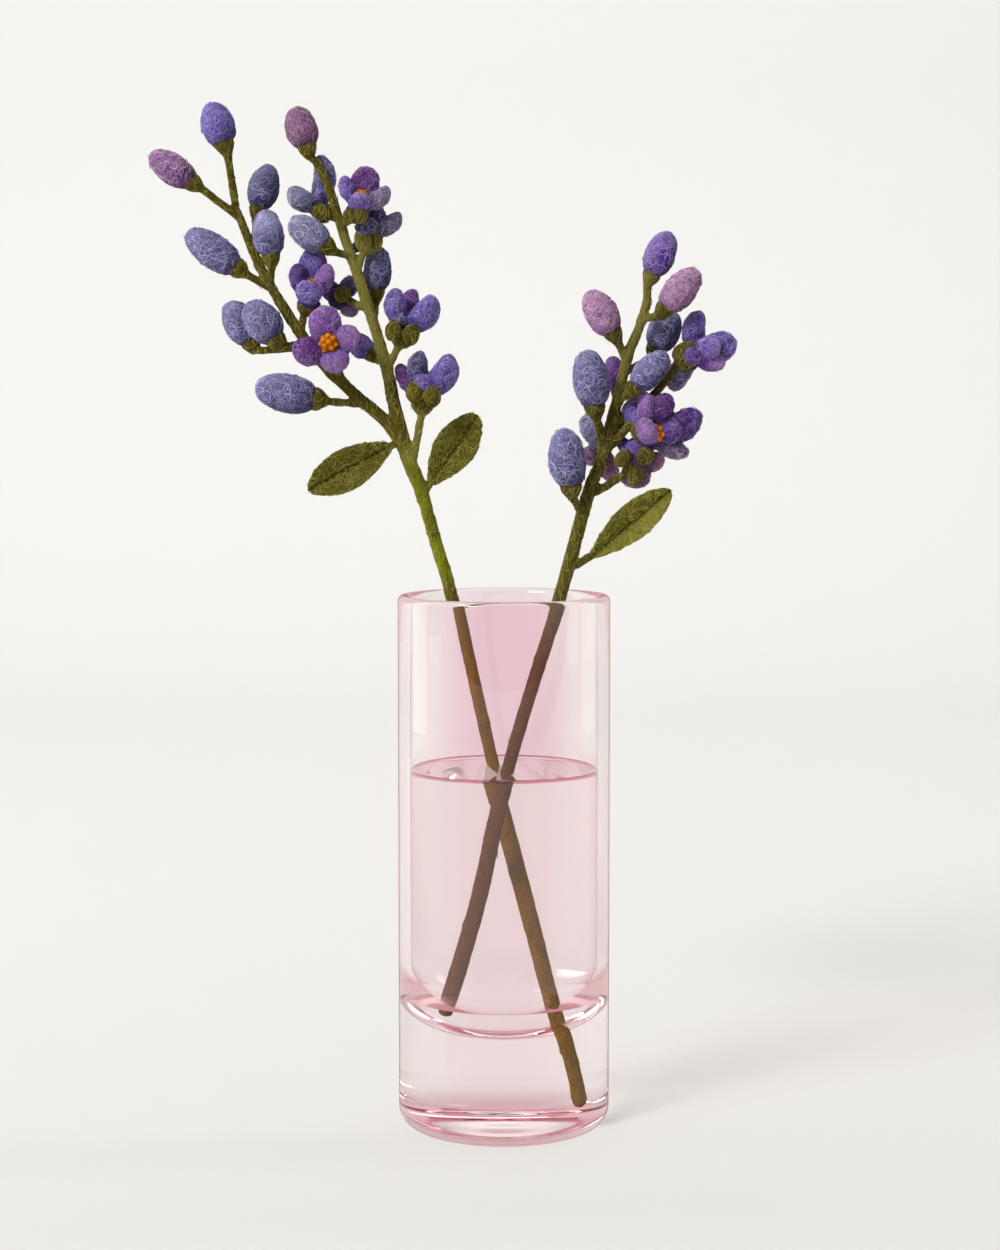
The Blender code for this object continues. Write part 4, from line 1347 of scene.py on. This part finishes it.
@dataclass(frozen=True)
class Vase:
    """The blown cylinder: a straight wall on a heavy base with a round-bottomed well. Lengths are in mm."""
    radius: float = 37.5
    height: float = 190.0
    wall: float = 4.2
    foot_round: float = 7.5
    well_floor: float = 35.0
    well_round: float = 25.0
    ring_radius: float = 15.5
    ring_reach: float = 9.0
    ring_depth: float = 1.3
    water_level: float = 128.0
    contact: float = 47.0
    water_gap: float = 0.1
    still_radius: float = 20.0
    meniscus: float = 0.8
    meniscus_width: float = 4.0
    curl: float = 0.5
    inner_bands: tuple[float, float] = (90.0, 160.0)
    outer_bands: tuple[float, float] = (140.0, 75.0)
    well_steps: int = 28
    lip_steps: int = 14
    foot_steps: int = 16
    ring_steps: int = 24
    segments: int = 160

    def build(self) -> None:
        """Build the glass."""
        inner = self.radius - self.wall
        lip = self.wall / 2
        profile = [(0.0, self.well_floor)]
        profile += arc((inner - self.well_round, self.well_floor + self.well_round), self.well_round,
                       -90, 0, self.well_steps)
        # The upright walls are parted into bands, one at the water's level
        low, high = self.inner_bands
        profile += [(inner, low), (inner, self.water_level), (inner, high)]
        profile += arc((self.radius - lip, self.height - lip), lip, 180, 0, self.lip_steps)
        profile += [(self.radius, height) for height in self.outer_bands]
        profile += arc((self.radius - self.foot_round, self.foot_round), self.foot_round, 0, -90,
                       self.foot_steps)
        for step in range(1, self.ring_steps):
            across = 1 - 2 * step / self.ring_steps
            profile.append((self.ring_radius + across * self.ring_reach,
                            self.ring_depth * (0.5 + 0.5 * math.cos(math.pi * across))))
        profile += [(self.ring_radius - self.ring_reach, 0.0), (0.0, 0.0)]
        mesh = turned("rose_glass_vase", profile, self.segments)
        finish = RoseGlass()
        for material in (finish.dry(), finish.beside_water(), finish.under_water()):
            mesh.materials.append(material)
        for polygon in mesh.polygons:
            reach, height = self.middle(polygon)
            if reach < self.radius - lip and 0.5 * self.well_floor < height < self.water_level:
                polygon.material_index = 2 if height < self.contact else 1
        stand_for(add_object("rose_glass_vase", mesh), "vase")

    @staticmethod
    def middle(polygon: bpy.types.MeshPolygon) -> tuple[float, float]:
        """How far a face's middle lies from the axis, and how high, in mm."""
        return math.hypot(polygon.center.x, polygon.center.y) / MM, polygon.center.z / MM

    def build_water(self) -> None:
        """Build the water: it fills the well and climbs a little where it meets the glass."""
        inner = self.radius - self.wall - self.water_gap
        turn = self.well_round - self.water_gap
        floor = self.well_floor + self.water_gap
        climb = [(inner - self.meniscus_width * share,
                  self.water_level + self.meniscus * (1 - share) ** 3)
                 for share in (1.0, 0.8, 0.6, 0.45, 0.3, 0.2, 0.1, 0.05, 0.0)]
        profile = [(0.0, self.water_level), (self.still_radius, self.water_level), *climb]
        profile.append((inner, self.water_level - self.meniscus / 2))
        profile += arc((inner - turn, floor + turn), turn, 0, -90, self.well_steps)
        profile.append((0.0, floor))
        mesh = turned("water_in_vase", profile, self.segments)
        finish = ClearWater()
        for material in (finish.free(), finish.resting(), finish.rim()):
            mesh.materials.append(material)
        for polygon in mesh.polygons:
            reach, height = self.middle(polygon)
            if height < self.contact:
                polygon.material_index = 1
            elif height > self.water_level - self.curl and reach > inner - self.curl:
                polygon.material_index = 2
        stand_for(add_object("water_in_vase", mesh), "water")


# This arrangement

STUDIO = Studio(lamps=(
    Lamp("key_softbox", (-4.0, -3.9, 4.2), (0.0, 0.0, 0.15), (2.0, 2.0), 368.0),
    Lamp("left_panel", (-1.1, 0.25, 0.45), (0.0, 0.0, 0.25), (0.5, 1.2), 2.6),
    Lamp("right_panel", (1.1, 0.25, 0.45), (0.0, 0.0, 0.25), (0.5, 1.2), 2.0),
    Lamp("backdrop_softbox", (0.55, 0.6, 2.4), (0.45, 1.9, 1.2), (2.4, 0.5), 17.4, "#FFFAF6"),
))

LEFT = Sprig(
    name="left_sprig",
    rim_depth=23.6,
    lean=0.085,
    bright=1.0,
    pale_and_highlit_stalks=(((-41.5, 267), (-45, 279.5), (-48.5, 290.5), (-52, 301), (-56, 313)),
                 ((-42, 267), (-36.5, 278)), ((-32, 236.5), (-29, 254.5)), ((-53, 301), (-50, 309))),
    wet_stem=((22.6, -12.4, 12.5), (21.1, -11.3, 18.5), (18.5, -9.5, 28.0), (13.4, -5.5, 46.0),
              (5.0, 2.8, 85.0), (-3.9, 11.3, 128.0)),
    stem=((-18.5, 186.5), (-23.5, 203.5), (-27, 216), (-30, 226), (-33.5, 234.5), (-36.5, 244)),
    stalks=(((-33.5, 236), (-41, 248), (-54, 259.5), (-65, 270.5), (-73.5, 282), (-79, 290.5),
             (-86.5, 303.5), (-91, 314), (-95, 324)),
            ((-35.5, 241), (-39.5, 257), (-41.5, 267), (-45, 279.5), (-48.5, 290.5), (-52, 301),
             (-55, 309.5), (-60, 325), (-62.5, 333), (-67, 342))),
    buds=(
        Bud(1, (-95, 322), (-99.5, 347.5), (-104.5, 362.5), 12.1, 0, Wool.VIOLET),
        Bud(2, (-94.5, 322), (-110.5, 334), (-126, 344.5), 10.8, -2, Wool.ROSE_VIOLET, "lilac"),
        Bud(3, (-89, 309), (-87.5, 324.5), (-83.5, 340.5), 11, 7, Wool.SLATE, "slate"),
        Bud(4, (-83.5, 298), (-83, 307.5), (-85, 324.5), 11.0, -4, Wool.BLUE, "blue", 0.8),
        Bud(5, (-84, 297), (-94.5, 303.5), (-113, 316.5), 12.1, -3, Wool.BLUE, "blue"),
        Bud(6, (-74, 275.5), (-90, 277), (-98, 291.5), 12.1, 9, Wool.BLUE, "blue"),
        Bud(7, (-72, 277), (-81, 278), (-91, 291.5), 12.8, -4, Wool.BLUE, "blue"),
        Bud(8, (-51.5, 255.5), (-66.5, 257), (-88.5, 261.5), 13.9, -3, Wool.BLUE, "blue"),
        Bud(9, (-66, 341), (-70, 346.5), (-74.5, 361), 11.4, 0, Wool.MAUVE, "mauve"),
        Bud(10, (-54.5, 308), (-63, 311.5), (-76, 321), 11.2, -4, Wool.LAVENDER, "lilac"),
        Bud(11, (-46.5, 284), (-45.5, 295), (-44.5, 311.5), 10, 7, Wool.SLATE, "slate"),
        Bud(12, (-43, 270.5), (-47.5, 273), (-55, 279.5), 8.6, 6, Wool.VIOLET, "violet"),
    ),
    flowers=(
        Flower(1, (-72.5, 280.5), (-71, 289), (-69.5, 292), -4,
               (Petal(-67.5, 309.5, 9, 10.2, Wool.VIOLET), Petal(-75.5, 304.5, 0, 8.4, Wool.AUBERGINE),
                Petal(-60.5, 304, 0, 8.2, Wool.ORCHID), Petal(-69.3, 296.8, -12, 9.6, Wool.VIOLET)),
               cup=3.6, centre=3.2, stand=2.2),
        Flower(2, (-56.5, 261), (-61.5, 274.5), (-62, 274.8), -8,
               (Petal(-65, 290.5, -4, 11.6, Wool.ORCHID), Petal(-51.5, 281, -7, 9.4, Wool.ORCHID),
                Petal(-58.5, 267.5, -8, 10.2, Wool.ORCHID), Petal(-75.5, 273, -6, 10.6, Wool.PLUM)),
               centre=3.9, stand=2.2, slot="plum"),
        Flower(3, (-59, 321.5), (-64, 322.5), (-65, 325), 5,
               (Petal(-62.5, 343.5, 2, 10, Wool.BLUE), Petal(-77.5, 330, -2, 10, Wool.LAVENDER),
                Petal(-65, 332.5, -6, 5, Wool.VIOLET), Petal(-64, 336, 12, 7.8, Wool.SLATE)),
               cup=3.6, lobes=((-65, 323.4, -3, 3.2),), slot="slate"),
        Flower(4, (-58.5, 319), (-53.5, 321.5), (-52, 324.8), -7,
               (Petal(-58.5, 336, -1, 6.8, Wool.IRIS), Petal(-48.3, 338.8, 5, 10.4, Wool.PLUM),
                Petal(-51.2, 328.6, -11, 7, Wool.IRIS), Petal(-39.8, 330.5, -3, 8, Wool.HEATHER)),
               cup=3.4, lobes=((-55, 322.5, -3, 2.4), (-51, 322.6, -3, 2.5)), centre=3.0, stand=1.6),
        Flower(5, (-52.5, 302.5), (-49, 312.5), (-47.5, 315.5), 1,
               (Petal(-36, 321.5, -2, 8.2, Wool.HEATHER), Petal(-44, 326, 1, 7.8, Wool.AUBERGINE),
                Petal(-50.5, 320.5, -5, 9, Wool.SLATE), Petal(-54.5, 309, 7, 5, Wool.SLATE)),
               cup=5.2, slot="mauve"),
        Flower(6, (-51, 290), (-57, 293.5), (-58.5, 293), 8,
               (Petal(-52.5, 300.5, 7, 6.8, Wool.SLATE), Petal(-53, 286.5, 6, 6.2, Wool.HEATHER),
                Petal(-65, 298, 6, 7.1, Wool.PLUM)),
               cup=3.0, lobes=((-57.5, 294.5, -2, 3.0),), slot="slate"),
        Flower(7, (-42, 267), (-36.5, 278), (-36, 281), -2,
               (Petal(-41, 296, -4, 10, Wool.VIOLET), Petal(-22.5, 291, -4, 12, Wool.VIOLET),
                Petal(-32.5, 295, 8, 7.2, Wool.PLUM), Petal(-38, 287.5, -8, 5, Wool.SLATE)),
               cup=4.2, lobes=((-39.5, 281.5, -3, 3.2), (-33, 280, -3, 3.3))),
        Flower(8, (-32, 236.5), (-29, 254.5), (-29, 257), -2,
               (Petal(-32.5, 274, -3, 9.2, Wool.SLATE), Petal(-16, 270.5, -3, 12.4, Wool.VIOLET),
                Petal(-38.5, 268, 7, 6.6, Wool.PLUM), Petal(-28.5, 265, -9, 6.8, Wool.IRIS)),
               cup=4.2, lobes=((-32, 259.5, -3, 3.3), (-25.5, 258, -3, 3.4))),
    ),
    leaves=(
        Leaf(1, (-35.5, 242.5), (-40, 240.7), (-70, 224.5), 7.5, -3, -9),
        Leaf(2, (-29, 223), (-26.5, 227), (-9.5, 251.5), 7.5, 1, 5),
    ),
)

RIGHT = Sprig(
    name="right_sprig",
    rim_depth=-22.6,
    lean=-0.08,
    wool=Wool.UMBER,
    bright=0.15,
    pale_and_highlit_stalks=(((52, 299), (51, 292), (48.5, 283.5), (44, 272), (41, 260)),),
    radii=(1.85, 2.3, 2.3, 2.3, 2.3, 2.3, 2.2, 2.1, 2.05, 1.95, 1.8, 1.65, 1.5),
    wet_stem=((-15.2, 5.8, 38.4), (-13.2, 4.2, 50.0), (-6.5, -2.0, 85.0), (1.0, -10.0, 128.0)),
    stem=((19.8, 186.5), (25.5, 207), (30.5, 225), (35, 235.5), (36.5, 242.5), (40.5, 257),
          (44, 272), (48.5, 283.5), (51, 292)),
    stalks=(),
    buds=(
        Bud(1, (51, 290), (52.5, 301), (59, 316.5), 10.2, 0, Wool.PURPLE),
        Bud(2, (49.5, 286), (57, 289), (69, 303), 10.6, -3, Wool.LILAC, "lilac"),
        Bud(3, (43.5, 270.5), (39, 280.5), (30, 295.5), 10.8, -2, Wool.LILAC, "lilac"),
        Bud(4, (43.5, 267), (54, 274.5), (60.5, 288.5), 11, 8, Wool.BLUE, "slate"),
        Bud(5, (41.5, 257.5), (46.5, 261), (58, 273.5), 9.8, -5, Wool.BLUE, "blue"),
        Bud(6, (35.5, 240), (32.5, 254), (29.5, 274.5), 12.2, -5, Wool.BLUE, "blue"),
        Bud(7, (28, 216), (24, 225.5), (21, 246.5), 12.6, -5, Wool.BLUE, "blue"),
        Bud(8, (41, 246), (42.5, 247), (51, 259.5), 7.8, 6, Wool.VIOLET, "slate"),
        Bud(9, (41, 256), (40.5, 259.5), (38.5, 272.5), 7.1, 9, Wool.PLUM, "violet"),
    ),
    flowers=(
        Flower(1, (38.5, 248), (62.5, 269.5), (67, 272), 0,
               (Petal(67.5, 288.5, 5, 9.2, Wool.VIOLET), Petal(82, 277.5, 4, 10, Wool.VIOLET),
                Petal(76, 278, -7, 8.2, Wool.IRIS), Petal(78.5, 268.5, -3, 7.8, Wool.ORCHID),
                Petal(58.5, 262, 6, 9.8, Wool.HEATHER), Petal(67, 272.5, -12, 6.1, Wool.AUBERGINE)),
               lobes=((64, 274, 0, 3.6),), via=(52.5, 258)),
        Flower(2, (37, 239.5), (45.5, 248.5), (52.5, 243.2), -4,
               (Petal(49.6, 247, -12, 8.6, Wool.ORCHID), Petal(49.5, 258.5, -2, 8.2, Wool.ORCHID),
                Petal(57, 259.5, 1, 9.4, Wool.PLUM), Petal(71, 249.5, 1, 11.4, Wool.AUBERGINE),
                Petal(63.5, 246, -7, 8.6, Wool.AUBERGINE), Petal(65, 236, -3, 7.6, Wool.HEATHER),
                Petal(43.5, 254.5, 7, 10, Wool.VIOLET)),
               cup=3.4, centre=3.3, ball=(54.3, 245, -6.5)),
        Flower(3, (33, 224), (45.5, 232), (47.5, 234), -3,
               (Petal(45.5, 243.5, 3, 6.4, Wool.IRIS), Petal(40.5, 243.5, 6, 5, Wool.VIOLET),
                Petal(57.5, 235, 6, 7.1, Wool.MAUVE), Petal(46.5, 226, 6, 10, Wool.MAUVE)),
               lobes=((42.5, 236, 0, 2.9), (50.5, 237, 0, 2.9), (47, 229.5, 0, 2.8)), slot="mauve"),
        Flower(4, (35.5, 237), (34.5, 239.5), (34.5, 240), 10,
               (Petal(29, 252, 4, 7.8, Wool.LAVENDER), Petal(28.5, 234.5, 4, 7.1, Wool.MAUVE),
                Petal(39, 228, 4, 7.1, Wool.MAUVE), Petal(40.5, 246, 8, 7.1, Wool.PLUM)), slot="mauve"),
    ),
    leaves=(
        Leaf(1, (26, 198), (31, 201), (59.5, 225), 6.2, -2, -8, skew=1.2, bluntness=0.1, painted_light_side=-1.3),
    ),
)


def main() -> None:
    """Build the studio, the vase with its water, and both sprigs."""
    logging.basicConfig(level=logging.INFO, format="%(message)s")
    VIEW.add_camera()
    STUDIO.build()
    vase = Vase()
    vase.build()
    vase.build_water()
    LEFT.build(seed=11)
    RIGHT.build(seed=23)


if __name__ == "__main__":
    main()
